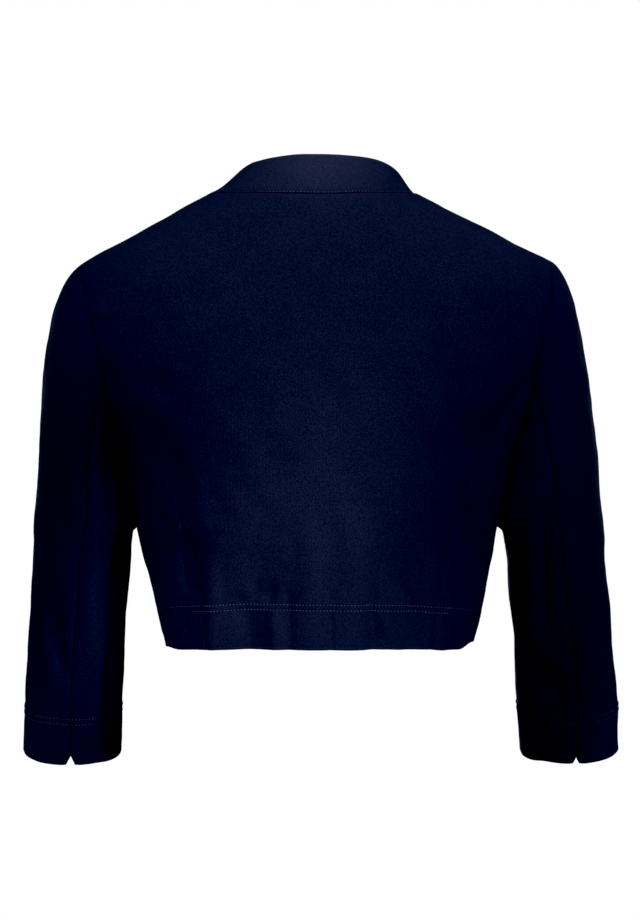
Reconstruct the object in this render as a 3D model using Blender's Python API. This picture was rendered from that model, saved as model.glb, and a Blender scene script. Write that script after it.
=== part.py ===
"""Cropped open-front sweat jacket, hollow and filled out as if worn.

Metres, +Z up. The back faces +Y, the front faces -Y, the wearer's left is +X.
The origin lies on the middle line at the height of the neck seam, where the shoulders hold the jacket.
"""
import math
from collections import namedtuple

import bmesh
import bpy
import numpy as np

CLOTH = 0.002  # wall of the single cloth
BAND_CLOTH = 0.003  # wall of the folded neck and front band
SEAM_GAP = 0.0003  # clear space between two pieces at a seam
CLOTH_COLOUR = (0.006, 0.012, 0.045, 1.0)
CLOTH_ROUGHNESS = 0.9

HEM_Z = -0.3798  # hem at the sides and in front
HEM_LIFT = 0.0027  # how much higher the hem lies at the middle of the back
SHOULDER_Z = -0.055  # shoulder point, top of the armhole
UNDERARM_Z = -0.215  # bottom of the armhole
PRINCESS_DEG = 94.5  # place on the armhole where the princess seam starts
FRONT_SCOOP = 0.006  # how much further in the armhole is cut at the front

# Level sections of the body: half width, depth to back and front, squareness, depth of the side line,
# and how far the neck sits off the middle
Section = namedtuple("Section", "z half_width back front square side shift")
BODY = [
    Section(0.000, 0.0920, 0.0660, 0.0400, 2.00, 0.0000, 0.0042),
    Section(-0.020, 0.1295, 0.0730, 0.0520, 2.00, -0.0010, 0.0022),
    Section(-0.040, 0.1685, 0.0795, 0.0620, 2.00, -0.0020, 0.0008),
    Section(-0.055, 0.1980, 0.0840, 0.0680, 2.00, -0.0025, 0.0),
    Section(-0.070, 0.2190, 0.0880, 0.0735, 2.00, -0.0030, 0.0),
    Section(-0.090, 0.2330, 0.0920, 0.0810, 2.00, -0.0030, 0.0),
    Section(-0.115, 0.2370, 0.0960, 0.0900, 2.03, -0.0030, 0.0),
    Section(-0.140, 0.2300, 0.0990, 0.0990, 2.06, -0.0025, 0.0),
    Section(-0.165, 0.2110, 0.1008, 0.1080, 2.12, -0.0020, 0.0),
    Section(-0.190, 0.1855, 0.1012, 0.1150, 2.20, -0.0010, 0.0),
    Section(-0.215, 0.1675, 0.1005, 0.1205, 2.25, 0.0000, 0.0),
    Section(-0.235, 0.1603, 0.0995, 0.1235, 2.28, 0.0020, 0.0),
    Section(-0.255, 0.1556, 0.0980, 0.1250, 2.30, 0.0040, 0.0),
    Section(-0.280, 0.1506, 0.0963, 0.1225, 2.30, 0.0050, 0.0),
    Section(-0.310, 0.1438, 0.0940, 0.1170, 2.30, 0.0050, 0.0),
    Section(-0.345, 0.1362, 0.0910, 0.1095, 2.30, 0.0040, 0.0),
    Section(-0.380, 0.1270, 0.0880, 0.1030, 2.30, 0.0030, 0.0),
]

# Soft folds of the body as lines seen from behind (face 1) or in front (face -1), hollows under depth 0
BodyFold = namedtuple("BodyFold", "face x0 z0 x1 z1 width depth")
BODY_FOLDS = [
    BodyFold(1, -0.169, -0.156, -0.147, -0.196, 0.011, -0.0025),
    BodyFold(1, -0.147, -0.196, -0.138, -0.262, 0.013, -0.0035),
    BodyFold(1, 0.172, -0.150, 0.155, -0.250, 0.011, -0.0030),
    BodyFold(1, 0.127, -0.212, 0.117, -0.300, 0.016, -0.0028),
    BodyFold(1, -0.004, -0.270, -0.008, -0.385, 0.030, 0.0026),
    BodyFold(1, 0.047, -0.315, 0.050, -0.385, 0.018, -0.0026),
    BodyFold(1, -0.064, -0.310, -0.068, -0.385, 0.020, -0.0028),
    BodyFold(-1, 0.112, -0.255, 0.098, -0.385, 0.018, -0.0034),
    BodyFold(-1, -0.106, -0.265, -0.101, -0.385, 0.020, -0.0030),
    BodyFold(-1, 0.150, -0.150, 0.118, -0.205, 0.014, -0.0028),
    BodyFold(-1, -0.152, -0.156, -0.112, -0.214, 0.015, -0.0030),
]

# Seam lines as distance from the middle line at each height
SeamPlace = namedtuple("SeamPlace", "z x")
ARMHOLE = [
    SeamPlace(-0.055, 0.1980),
    SeamPlace(-0.075, 0.1950),
    SeamPlace(-0.095, 0.1915),
    SeamPlace(-0.115, 0.1865),
    SeamPlace(-0.135, 0.1820),
    SeamPlace(-0.160, 0.1780),
    SeamPlace(-0.185, 0.1735),
    SeamPlace(-0.215, 0.1675),
]
PRINCESS = [
    SeamPlace(-0.1413, 0.1810),
    SeamPlace(-0.176, 0.1600),
    SeamPlace(-0.197, 0.1480),
    SeamPlace(-0.248, 0.1200),
    SeamPlace(-0.290, 0.1090),
    SeamPlace(-0.322, 0.1015),
    SeamPlace(-0.345, 0.0960),
    SeamPlace(-0.380, 0.0925),
]
FRONT_SEAM = [
    SeamPlace(0.000, 0.0920),
    SeamPlace(-0.010, 0.0895),
    SeamPlace(-0.022, 0.0870),
    SeamPlace(-0.055, 0.0820),
    SeamPlace(-0.100, 0.0765),
    SeamPlace(-0.150, 0.0720),
    SeamPlace(-0.200, 0.0695),
    SeamPlace(-0.250, 0.0685),
    SeamPlace(-0.320, 0.0690),
    SeamPlace(-0.380, 0.0710),
]

# Free edge of the front band beside each height of its seam
BandEdge = namedtuple("BandEdge", "z edge_x edge_y edge_z")
FRONT_EDGE = [
    BandEdge(0.000, 0.0600, 0.0000, 0.0260),
    BandEdge(-0.004, 0.0590, -0.0120, 0.0195),
    BandEdge(-0.010, 0.0575, -0.0230, 0.0115),
    BandEdge(-0.022, 0.0550, -0.0380, -0.0025),
    BandEdge(-0.043, 0.0500, -0.0560, -0.0270),
    BandEdge(-0.075, 0.0445, -0.0730, -0.0630),
    BandEdge(-0.120, 0.0385, -0.0930, -0.1130),
    BandEdge(-0.170, 0.0335, -0.1105, -0.1680),
    BandEdge(-0.215, 0.0310, -0.1210, -0.2150),
    BandEdge(-0.255, 0.0295, -0.1250, -0.2550),
    BandEdge(-0.300, 0.0295, -0.1190, -0.3000),
    BandEdge(-0.340, 0.0305, -0.1100, -0.3400),
    BandEdge(-0.380, 0.0320, -0.1030, -0.3800),
]
COLLAR_EDGE_X = 0.060  # half width of the collar's top edge
COLLAR_EDGE_Y = 0.047  # its depth at the middle of the back
COLLAR_SIDE_Z = 0.026  # its height at the shoulder seam
COLLAR_RISE = 0.0076  # how much higher it stands at the middle of the back
COLLAR_FLARE = -0.002  # hollow of the band beside the neck
BAND_SWELL = 0.0012  # swell of the band down the front
FLARE_END_Z = -0.060  # height where the hollow has turned into the swell

# Sections of the hanging sleeve: outer and inner side, middle depth, half depth, forward tilt in degrees
Ring = namedtuple("Ring", "z outer inner middle half_depth tilt")
SLEEVE = [
    Ring(-0.235, 0.2365, 0.1609, -0.0120, 0.0575, 2.0),
    Ring(-0.255, 0.2382, 0.1558, -0.0165, 0.0565, 4.0),
    Ring(-0.270, 0.2394, 0.1541, -0.0195, 0.0555, 5.0),
    Ring(-0.285, 0.2403, 0.1568, -0.0230, 0.0545, 6.0),
    Ring(-0.300, 0.2412, 0.1589, -0.0260, 0.0535, 7.5),
    Ring(-0.340, 0.2445, 0.1628, -0.0345, 0.0510, 10.0),
    Ring(-0.400, 0.2497, 0.1672, -0.0485, 0.0475, 13.0),
    Ring(-0.440, 0.2521, 0.1691, -0.0600, 0.0455, 15.0),
    Ring(-0.4665, 0.2535, 0.1715, -0.0685, 0.0440, 16.0),
]
SLEEVE_SQUARE = 2.15
VENT_LENGTH = 0.028
DEGREE = 0.0008  # cloth round the arm for each degree
LEVEL = 0.2315  # cloth down the arm for each level

# Soft folds of the sleeves as lines on the cloth, between angles round the arm and levels down it
SleeveFold = namedtuple("SleeveFold", "side deg0 level0 deg1 level1 width depth")
SLEEVE_FOLDS = [
    SleeveFold(1, 62.0, 1.42, 74.0, 1.86, 0.010, -0.0022),
    SleeveFold(1, 30.0, 0.62, 66.0, 1.12, 0.013, -0.0020),
    SleeveFold(1, -70.0, 1.22, -128.0, 1.36, 0.010, -0.0030),
    SleeveFold(1, -58.0, 1.52, -122.0, 1.50, 0.011, -0.0026),
    SleeveFold(-1, 118.0, 1.30, 104.0, 1.80, 0.012, -0.0022),
    SleeveFold(-1, 52.0, 0.80, 70.0, 1.30, 0.014, -0.0018),
    SleeveFold(-1, -64.0, 1.28, -130.0, 1.40, 0.011, -0.0028),
    SleeveFold(-1, -76.0, 1.58, -120.0, 1.54, 0.010, -0.0024),
]

# What differs between the two sleeves: spread and fullness of the cap, swing and drop of the cuff,
# half opening of the vent
Side = namedtuple("Side", "sign name spread fullness swing drop vent")
SIDES = [
    Side(1.0, "left", 0.83, 0.70, -0.0023, 0.0008, 0.0042),
    Side(-1.0, "right", 0.63, 0.50, 0.0023, -0.0010, 0.0020),
]

# Sleeve seams as angles round the arm: 0 outside, 90 back, 180 at the body, -90 front
BACK_SEAM_TOP_DEG = 108.0
FRONT_SEAM_DEG = -135.0

# Back seam of each sleeve by level: 0 armhole, 1 under the arm, 2 cuff
SleeveSeam = namedtuple("SleeveSeam", "level left right")
BACK_SEAM = [
    SleeveSeam(0.00, BACK_SEAM_TOP_DEG, BACK_SEAM_TOP_DEG),
    SleeveSeam(0.20, 110.3, 109.5),
    SleeveSeam(0.50, 109.2, 104.5),
    SleeveSeam(0.80, 105.0, 100.3),
    SleeveSeam(1.03, 98.3, 91.6),
    SleeveSeam(1.20, 91.6, 85.8),
    SleeveSeam(1.45, 89.8, 84.3),
    SleeveSeam(1.75, 89.0, 81.3),
    SleeveSeam(2.00, 91.0, 86.0),
]

SHOULDER_ROWS = [0.0, -0.0015, -0.004, -0.008, -0.014, -0.022, -0.032, -0.043]
HEM_STEPS = 10
HALF_BACK_STEPS = 10
SIDE_BACK_STEPS = 5
FRONT_STEPS = 8
BAND_STEPS = 4
CAP_STEPS = 8
SLEEVE_ROWS = [1.1, 1.2, 1.3, 1.4, 1.5, 1.6, 1.7, 1.8, 1.879, 1.93, 1.97, 2.0]
UPPER_BACK_DEG = np.linspace(0.0, BACK_SEAM_TOP_DEG, 9)
UNDER_BACK_DEG = np.linspace(BACK_SEAM_TOP_DEG, 180.0, 7)
UPPER_FRONT_DEG = np.linspace(0.0, -FRONT_SEAM_DEG, 11)
UNDER_FRONT_DEG = np.linspace(-FRONT_SEAM_DEG, 180.0, 5)


def column(rows, name):
    """Smooth function through one named column of a table, over the table's first column."""
    first = rows[0]._fields[0]
    order = sorted(rows, key=lambda row: getattr(row, first))
    at = np.array([getattr(row, first) for row in order])
    value = np.array([getattr(row, name) for row in order])
    step = np.diff(at)
    rise = np.diff(value) / step
    inner = (rise[:-1] * step[1:] + rise[1:] * step[:-1]) / (step[1:] + step[:-1])
    slope = np.concatenate([rise[:1], inner, rise[-1:]])

    def smooth(place):
        place = np.asarray(place, float)
        index = np.clip(np.searchsorted(at, place) - 1, 0, len(step) - 1)
        width = step[index]
        part = (place - at[index]) / width
        inside = np.clip(part, 0.0, 1.0)
        low = slope[index] * width
        high = slope[index + 1] * width
        bend = inside * (1.0 - inside)
        curve = value[index] + (value[index + 1] - value[index]) * inside * inside * (3.0 - 2.0 * inside)
        curve = curve + bend * ((1.0 - inside) * low - inside * high)
        beyond = np.where(part < 0.0, part * low, 0.0) + np.where(part > 1.0, (part - 1.0) * high, 0.0)
        return curve + beyond

    return smooth


BODY_AT = {name: column(BODY, name) for name in Section._fields[1:]}
SLEEVE_AT = {name: column(SLEEVE, name) for name in Ring._fields[1:]}
EDGE_AT = {name: column(FRONT_EDGE, name) for name in BandEdge._fields[1:]}
BACK_SEAM_AT = {name: column(BACK_SEAM, name) for name in SleeveSeam._fields[1:]}
ARMHOLE_AT = column(ARMHOLE, "x")
PRINCESS_AT = column(PRINCESS, "x")
FRONT_SEAM_AT = column(FRONT_SEAM, "x")


def unit(vectors):
    """Vectors brought to length one."""
    return vectors / np.linalg.norm(vectors, axis=-1, keepdims=True)


def root(value, power):
    """Power of the size of a value, with its sign kept."""
    return np.sign(value) * np.abs(value) ** power


def plain_body(z, turn):
    """Point of the body without folds: turn 0 is the middle of the back, pi the middle of the front."""
    z, turn = np.broadcast_arrays(np.asarray(z, float), np.asarray(turn, float))
    power = 2.0 / BODY_AT["square"](z)
    across = root(np.sin(turn), power)
    along = root(np.cos(turn), power)
    side = BODY_AT["side"](z)
    depth = np.where(along > 0.0, BODY_AT["back"](z) - side, BODY_AT["front"](z) + side)
    x = BODY_AT["half_width"](z) * across + BODY_AT["shift"](z)
    return np.stack([x, side + depth * along, z], axis=-1)


def fold_height(place, start, end, fold):
    """Height of one soft fold at places on the cloth, highest along its line."""
    line = np.subtract(end, start)
    part = np.clip(np.sum((place - start) * line, axis=-1) / np.dot(line, line), 0.0, 1.0)
    gap = np.linalg.norm(place - start - part[..., None] * line, axis=-1)
    return fold.depth * np.exp(-(gap / fold.width) ** 2)


def face_normal(surface, first, second, small=1e-4):
    """Normal of a surface from small steps in its two directions."""
    along_first = surface(first + small, second) - surface(first - small, second)
    along_second = surface(first, second + small) - surface(first, second - small)
    return unit(np.cross(along_first, along_second))


def body(z, turn):
    """Point of the body's outer face, folds and all."""
    z, turn = np.broadcast_arrays(np.asarray(z, float), np.asarray(turn, float))
    points = plain_body(z, turn)
    height = np.zeros(z.shape)
    for fold in BODY_FOLDS:
        faces = np.clip(3.0 * fold.face * np.cos(turn), 0.0, 1.0)
        height += faces * fold_height(points[..., ::2], (fold.x0, fold.z0), (fold.x1, fold.z1), fold)
    return points + face_normal(plain_body, z, turn) * height[..., None]


def body_normal(z, turn):
    """Outward normal of the body."""
    z, turn = np.broadcast_arrays(np.asarray(z, float), np.asarray(turn, float))
    return face_normal(body, z, turn)


def turn_at(z, x):
    """Turn at which the back half of a level section lies at this distance from the middle."""
    share = np.clip(x / BODY_AT["half_width"](z), 0.0, 1.0)
    return np.arcsin(share ** (BODY_AT["square"](z) / 2.0))


def armhole_z(degrees):
    """Height of the armhole at an angle round it: 0 at the shoulder point, 180 under the arm."""
    middle = (SHOULDER_Z + UNDERARM_Z) / 2.0
    return middle + (SHOULDER_Z - UNDERARM_Z) / 2.0 * np.cos(np.radians(degrees))


def armhole_turn(degrees):
    """Turn of the armhole seam on the body, at the back for angles over 0 and at the front under 0."""
    degrees = np.asarray(degrees, float)
    z = armhole_z(degrees)
    scoop = np.where(degrees < 0.0, FRONT_SCOOP * np.sin(np.radians(degrees)) ** 2, 0.0)
    turn = turn_at(z, ARMHOLE_AT(z) - scoop)
    turn = np.where(np.abs(np.cos(np.radians(degrees))) > 1.0 - 1e-9, math.pi / 2.0, turn)
    return np.where(degrees < 0.0, math.pi - turn, turn)


def sleeve_ring(side, degrees, z):
    """Point of a hanging section of the sleeve, on the left side."""
    angle = np.radians(degrees)
    part = (z - SLEEVE[0].z) / (SLEEVE[-1].z - SLEEVE[0].z)
    outer = SLEEVE_AT["outer"](z)
    inner = SLEEVE_AT["inner"](z)
    half = (outer - inner) / 2.0
    depth = SLEEVE_AT["half_depth"](z) * root(np.sin(angle), 2.0 / SLEEVE_SQUARE)
    tilt = np.radians(SLEEVE_AT["tilt"](z))
    x = (outer + inner) / 2.0 + half * root(np.cos(angle), 2.0 / SLEEVE_SQUARE) + side.swing * part
    low = z - depth * np.sin(tilt) - side.drop * part
    return np.stack([x, SLEEVE_AT["middle"](z) + depth * np.cos(tilt), low], axis=-1)


def plain_sleeve(side, degrees, level):
    """Point of the sleeve without folds, on the left side: level 0 armhole, 1 under the arm, 2 cuff."""
    angle = np.radians(degrees)
    top_z = SLEEVE[0].z
    mirror = np.array([side.sign, 1.0, 1.0])
    start = body(armhole_z(degrees), side.sign * armhole_turn(degrees)) * mirror
    end = sleeve_ring(side, degrees, np.full(degrees.shape, top_z))
    reach = np.linalg.norm(end - start, axis=-1, keepdims=True)
    high = ((1.0 + np.cos(angle)) / 2.0)[..., None]
    out = 0.12 + side.spread * high[..., 0]
    leave = np.stack([out, 0.18 * np.sin(angle), -1.0 + 0.34 * high[..., 0]], axis=-1)
    leave = unit(leave) * reach * (0.8 + (side.fullness - 0.8) * high)
    lower = sleeve_ring(side, degrees, np.full(degrees.shape, top_z - 0.002))
    arrive = unit(lower - end) * reach * 1.05
    part = np.clip(level, 0.0, 1.0)[..., None]
    rest = 1.0 - part
    cap = start * rest * rest * (1.0 + 2.0 * part) + end * part * part * (3.0 - 2.0 * part)
    cap = cap + leave * part * rest * rest - arrive * part * part * rest
    tube = sleeve_ring(side, degrees, top_z + (SLEEVE[-1].z - top_z) * (level - 1.0))
    return np.where(level[..., None] < 1.0, cap, tube)


def sleeve(side, degrees, level):
    """Point of the sleeve's outer face, folds and all, on the left side."""
    degrees, level = np.broadcast_arrays(np.asarray(degrees, float), np.asarray(level, float))
    place = np.stack([degrees * DEGREE, level * LEVEL], axis=-1)
    height = np.zeros(degrees.shape)
    for fold in SLEEVE_FOLDS:
        if fold.side == side.sign:
            start = (fold.deg0 * DEGREE, fold.level0 * LEVEL)
            end = (fold.deg1 * DEGREE, fold.level1 * LEVEL)
            height += fold_height(place, start, end, fold)
    height *= np.clip(2.0 * level, 0.0, 1.0)
    points = plain_sleeve(side, degrees, level)
    inside = np.maximum(level, 0.002)
    normal = face_normal(lambda down, around: plain_sleeve(side, around, down), inside, degrees, 1e-3)
    return points + normal * height[..., None]


def sleeve_normal(side, degrees, level):
    """Outward normal of the sleeve on the left side."""
    inside = np.clip(level, 0.002, None)
    return face_normal(lambda down, around: sleeve(side, around, down), inside, degrees, 1e-3)


def vent_turn(side, level):
    """Angle by which each edge of the vent stands back from the seam line."""
    start = 2.0 - VENT_LENGTH / (SLEEVE[0].z - SLEEVE[-1].z)
    part = np.clip((level - start) / (2.0 - start), 0.0, 1.0)
    return np.degrees(side.vent * part ** 6 / SLEEVE[-1].half_depth)


def band(start, edge, swell, normal):
    """Grid of points from a seam line to a free edge, hollowed or swelled between them."""
    share = np.linspace(0.0, 1.0, BAND_STEPS + 1)[:, None]
    straight = start[:, None, :] + (edge - start)[:, None, :] * share
    return straight + normal[:, None, :] * (4.0 * share * (1.0 - share) * swell[:, None, None])


def grid_normal(points):
    """Normals of a grid of points, from its own rows and columns."""
    down = np.gradient(points, axis=0)
    across = np.gradient(points, axis=1)
    return unit(np.cross(down, across))


def outline(shape):
    """Index pairs once round the rim of a grid."""
    last_row = shape[0] - 1
    last_column = shape[1] - 1
    loop = [(0, c) for c in range(last_column)]
    loop += [(r, last_column) for r in range(last_row)]
    loop += [(last_row, c) for c in range(last_column, 0, -1)]
    loop += [(r, 0) for r in range(last_row, 0, -1)]
    return loop


def draw_in(points, normals, gap):
    """Grid with its rim moved in along the cloth, to leave clear space at the seams."""
    loop = outline(points.shape)
    corner = []
    groups = []
    for index in loop:
        if corner and np.linalg.norm(points[index] - corner[-1]) < 1e-7:
            groups[-1].append(index)
            continue
        corner.append(points[index])
        groups.append([index])
    corner = np.array(corner)
    normal = np.array([normals[group[len(group) // 2]] for group in groups])
    ahead = unit(np.roll(corner, -1, axis=0) - corner)
    inward = np.cross(normal, ahead)
    before = np.roll(np.cross(np.roll(normal, -1, axis=0), ahead), 1, axis=0)
    centre = points.mean(axis=(0, 1))
    facing = np.sign(np.sum(np.einsum("ij,ij->i", inward, centre - corner)))
    inward, before = unit(inward) * facing, unit(before) * facing
    spread = np.maximum(1.0 + np.einsum("ij,ij->i", inward, before), 0.06)[:, None]
    moved = points.copy()
    for group, shift in zip(groups, (inward + before) / spread * gap):
        for index in group:
            moved[index] = points[index] + shift
    return moved


def cloth_material(name):
    """Material of one piece of cloth."""
    material = bpy.data.materials.new(name + "_cloth")
    material.use_nodes = True
    shader = material.node_tree.nodes["Principled BSDF"]
    shader.inputs["Base Color"].default_value = CLOTH_COLOUR
    shader.inputs["Roughness"].default_value = CLOTH_ROUGHNESS
    shader.inputs["Metallic"].default_value = 0.0
    return material


def wall(name, points, normals, thickness):
    """Closed wall of cloth behind a grid of outer points."""
    outer = draw_in(points, normals, SEAM_GAP / 2.0)
    inner = outer - normals * thickness
    rows, columns = points.shape[:2]
    mesh = bmesh.new()
    layers = []
    for layer in (outer, inner):
        layers.append([[mesh.verts.new(layer[r, c]) for c in range(columns)] for r in range(rows)])
    for layer in layers:
        for r in range(rows - 1):
            for c in range(columns - 1):
                mesh.faces.new((layer[r][c], layer[r][c + 1], layer[r + 1][c + 1], layer[r + 1][c]))
    loop = outline(points.shape)
    for (r0, c0), (r1, c1) in zip(loop, loop[1:] + loop[:1]):
        mesh.faces.new((layers[0][r0][c0], layers[0][r1][c1], layers[1][r1][c1], layers[1][r0][c0]))
    bmesh.ops.remove_doubles(mesh, verts=mesh.verts, dist=1e-6)
    bmesh.ops.triangulate(mesh, faces=mesh.faces)
    bmesh.ops.recalc_face_normals(mesh, faces=mesh.faces)
    data = bpy.data.meshes.new(name)
    mesh.to_mesh(data)
    mesh.free()
    data.materials.append(cloth_material(name))
    data.shade_smooth()
    data.set_sharp_from_angle(angle=math.radians(40.0))
    bpy.context.scene.collection.objects.link(bpy.data.objects.new(name, data))


def shared(own, other):
    """Own normal leaned to the middle of two, unless the two cloths fold back on each other."""
    together = np.einsum("...i,...i->...", own, other)[..., None]
    return unit(own + np.clip(0.5 + together * 2.0, 0.0, 1.0) * other)


def armhole_normals(side, degrees):
    """Normals along the armhole for the body cloth and for the sleeve cloth."""
    mirror = np.array([side.sign, 1.0, 1.0])
    on_body = body_normal(armhole_z(degrees), side.sign * armhole_turn(degrees))
    on_sleeve = sleeve_normal(side, degrees, np.zeros(degrees.shape)) * mirror
    return shared(on_body, on_sleeve), shared(on_sleeve, on_body)


def hem_rows():
    """Heights from just under the arm to the hem."""
    return np.linspace(UNDERARM_Z, HEM_Z, HEM_STEPS + 1)[1:]


def arched(z, turn):
    """Height of a row below the arm, lifted towards the arch of the back hem."""
    below = np.clip((UNDERARM_Z - z) / (UNDERARM_Z - HEM_Z), 0.0, 1.0)
    return z + HEM_LIFT * np.maximum(np.cos(turn), 0.0) * below


def collar_grid(turn):
    """Points and normals of the collar at turns round the back of the neck."""
    seam = body(np.zeros(turn.shape), turn)
    height = COLLAR_SIDE_Z + COLLAR_RISE * np.maximum(np.cos(turn), 0.0) ** 1.2
    edge = np.stack([COLLAR_EDGE_X * np.sin(turn), COLLAR_EDGE_Y * np.cos(turn), height], axis=-1)
    way = np.gradient(seam, axis=0)
    way[0] = (0.0, 1.0, 0.0)
    way[-1] = (0.0, -1.0, 0.0)
    normal = unit(np.cross(edge - seam, way))
    points = band(seam, edge, COLLAR_FLARE * np.sin(turn) ** 2, normal)
    return points, -grid_normal(points)


def front_band_grid(side, z):
    """Points and normals of a front band at heights of its seam."""
    seam = body(z, side.sign * (math.pi - turn_at(z, FRONT_SEAM_AT(z))))
    edge = np.stack([side.sign * EDGE_AT["edge_x"](z), EDGE_AT["edge_y"](z), EDGE_AT["edge_z"](z)], axis=-1)
    way = np.gradient(seam, axis=0)
    way[0] = (0.0, -1.0, 0.0)
    normal = unit(np.cross(edge - seam, way)) * side.sign
    swell = COLLAR_FLARE + (BAND_SWELL - COLLAR_FLARE) * np.clip(z / FLARE_END_Z, 0.0, 1.0)
    points = band(seam, edge, swell, normal)
    return points, -grid_normal(points) * side.sign


def neck_turns():
    """Turns of the collar's sections, from the right shoulder seam to the left."""
    return np.linspace(-math.pi / 2.0, math.pi / 2.0, 2 * HALF_BACK_STEPS + 1)


def front_rows():
    """Heights of the front's rows, and the angles of those on the armhole."""
    arm_deg = -np.concatenate([UPPER_FRONT_DEG, UNDER_FRONT_DEG[1:]])
    return np.concatenate([SHOULDER_ROWS, armhole_z(arm_deg), hem_rows()]), arm_deg


def shoulder_join(side):
    """Normals where collar and front band meet at the shoulder seam, from neck seam to free edge."""
    collar_end = collar_grid(neck_turns())[1][-1 if side.sign > 0.0 else 0]
    band_end = front_band_grid(side, front_rows()[0])[1][0]
    join = unit(collar_end + band_end)
    join[0] = unit(join[0] + body_normal(0.0, side.sign * math.pi / 2.0))
    return join


def build_back():
    """Centre back panel, whole, with the armhole, princess, shoulder and neck edges."""
    arm_deg = np.concatenate([UPPER_BACK_DEG, UNDER_BACK_DEG[1:]])
    z = np.concatenate([SHOULDER_ROWS, armhole_z(arm_deg), hem_rows()])
    limit = np.full(z.shape, math.pi / 2.0)
    first = len(SHOULDER_ROWS)
    split = first + list(UPPER_BACK_DEG).index(PRINCESS_DEG)
    limit[first:split + 1] = armhole_turn(arm_deg)[:split + 1 - first]
    limit[split + 1:] = turn_at(z[split + 1:], PRINCESS_AT(z[split + 1:]))
    share = np.linspace(-1.0, 1.0, 2 * HALF_BACK_STEPS + 1)
    turn = limit[:, None] * share
    height = arched(z[:, None], turn)
    points = body(height, turn)
    normals = body_normal(height, turn)
    for side, edge in zip(SIDES, (-1, 0)):
        on_body, _ = armhole_normals(side, arm_deg[:split + 1 - first])
        normals[first:split + 1, edge] = on_body
    normals[0] = shared(normals[0], collar_grid(turn[0])[1][:, 0])
    for side, edge in zip(SIDES, (-1, 0)):
        normals[0, edge] = shoulder_join(side)[0]
    wall("back", points, normals, CLOTH)


def build_side_back(side):
    """Side panel from the princess seam to the side seam."""
    arm_deg = np.concatenate([UPPER_BACK_DEG, UNDER_BACK_DEG[1:]])
    arm_deg = arm_deg[list(UPPER_BACK_DEG).index(PRINCESS_DEG):]
    z = np.concatenate([armhole_z(arm_deg), hem_rows()])
    limit = np.full(z.shape, math.pi / 2.0)
    limit[:len(arm_deg)] = armhole_turn(arm_deg)
    start = turn_at(z, PRINCESS_AT(z))
    start[0] = limit[0]
    share = np.linspace(0.0, 1.0, SIDE_BACK_STEPS + 1)
    turn = (start[:, None] + (limit - start)[:, None] * share) * side.sign
    height = arched(z[:, None], turn)
    points = body(height, turn)
    normals = body_normal(height, turn)
    on_body, _ = armhole_normals(side, arm_deg)
    normals[:len(arm_deg), -1] = on_body
    normals[0, :] = on_body[0]
    wall("side_back_" + side.name, points, normals, CLOTH)


def build_front(side):
    """Front panel and the band along its open edge."""
    z, arm_deg = front_rows()
    first = len(SHOULDER_ROWS)
    start = np.full(z.shape, math.pi / 2.0)
    start[first:first + len(arm_deg)] = armhole_turn(arm_deg)
    end = math.pi - turn_at(z, FRONT_SEAM_AT(z))
    share = np.linspace(0.0, 1.0, FRONT_STEPS + 1)
    turn = (start[:, None] + (end - start)[:, None] * share) * side.sign
    points = body(z[:, None], turn)
    normals = body_normal(z[:, None], turn)
    on_body, _ = armhole_normals(side, arm_deg)
    normals[first:first + len(arm_deg), 0] = on_body
    strip, strip_normals = front_band_grid(side, z)
    seam_normals = shared(normals[:, -1], strip_normals[:, 0])
    strip_normals[:, 0] = seam_normals
    normals[:, -1] = seam_normals
    strip_normals[0] = shoulder_join(side)
    normals[0] = strip_normals[0, 0]
    wall("front_" + side.name, points, normals, CLOTH)
    wall("front_band_" + side.name, strip, strip_normals, BAND_CLOTH)


def build_collar():
    """Standing band round the back of the neck."""
    turn = neck_turns()
    points, normals = collar_grid(turn)
    normals[:, 0] = shared(normals[:, 0], body_normal(np.zeros(turn.shape), turn))
    for side, end in zip(SIDES, (-1, 0)):
        normals[end] = shoulder_join(side)
    wall("collar", points, normals, BAND_CLOTH)


def build_sleeve(side):
    """Upper and under sleeve with the vent at the cuff end of the back seam."""
    mirror = np.array([side.sign, 1.0, 1.0])
    level = np.concatenate([np.linspace(0.0, 1.0, CAP_STEPS + 1), SLEEVE_ROWS])
    seam = BACK_SEAM_AT[side.name](level)
    vent = vent_turn(side, level)
    upper_deg = np.concatenate([-UPPER_FRONT_DEG[::-1], UPPER_BACK_DEG[1:]])
    under_deg = np.concatenate([UNDER_BACK_DEG, 360.0 - UNDER_FRONT_DEG[::-1][1:]])
    spans = {
        "upper_sleeve_": (upper_deg, np.full(level.shape, FRONT_SEAM_DEG), seam - vent),
        "under_sleeve_": (under_deg, seam + vent, np.full(level.shape, FRONT_SEAM_DEG + 360.0)),
    }
    for name, (top_deg, low, high) in spans.items():
        share = (top_deg - top_deg[0]) / (top_deg[-1] - top_deg[0])
        degrees = low[:, None] + (high - low)[:, None] * share
        degrees = np.where(degrees > 180.0 + 1e-9, degrees - 360.0, degrees)
        grid_level = np.broadcast_to(level[:, None], degrees.shape)
        points = sleeve(side, degrees, grid_level) * mirror
        normals = sleeve_normal(side, degrees, grid_level) * mirror
        _, normals[0] = armhole_normals(side, degrees[0])
        wall(name + side.name, points, normals, CLOTH)


def main():
    """Clear the scene and build every piece of the jacket."""
    for item in list(bpy.data.objects):
        bpy.data.objects.remove(item)
    build_back()
    for side in SIDES:
        build_side_back(side)
        build_front(side)
        build_sleeve(side)
    build_collar()


main()
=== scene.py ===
"""Cropped sweat jacket: cloth shells, sewing and finishes over its solids, with stage, light and camera.

Metres, +Z up. The back faces +Y, the front faces -Y, the wearer's left is +X.
"""
import math
from collections import namedtuple

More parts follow.
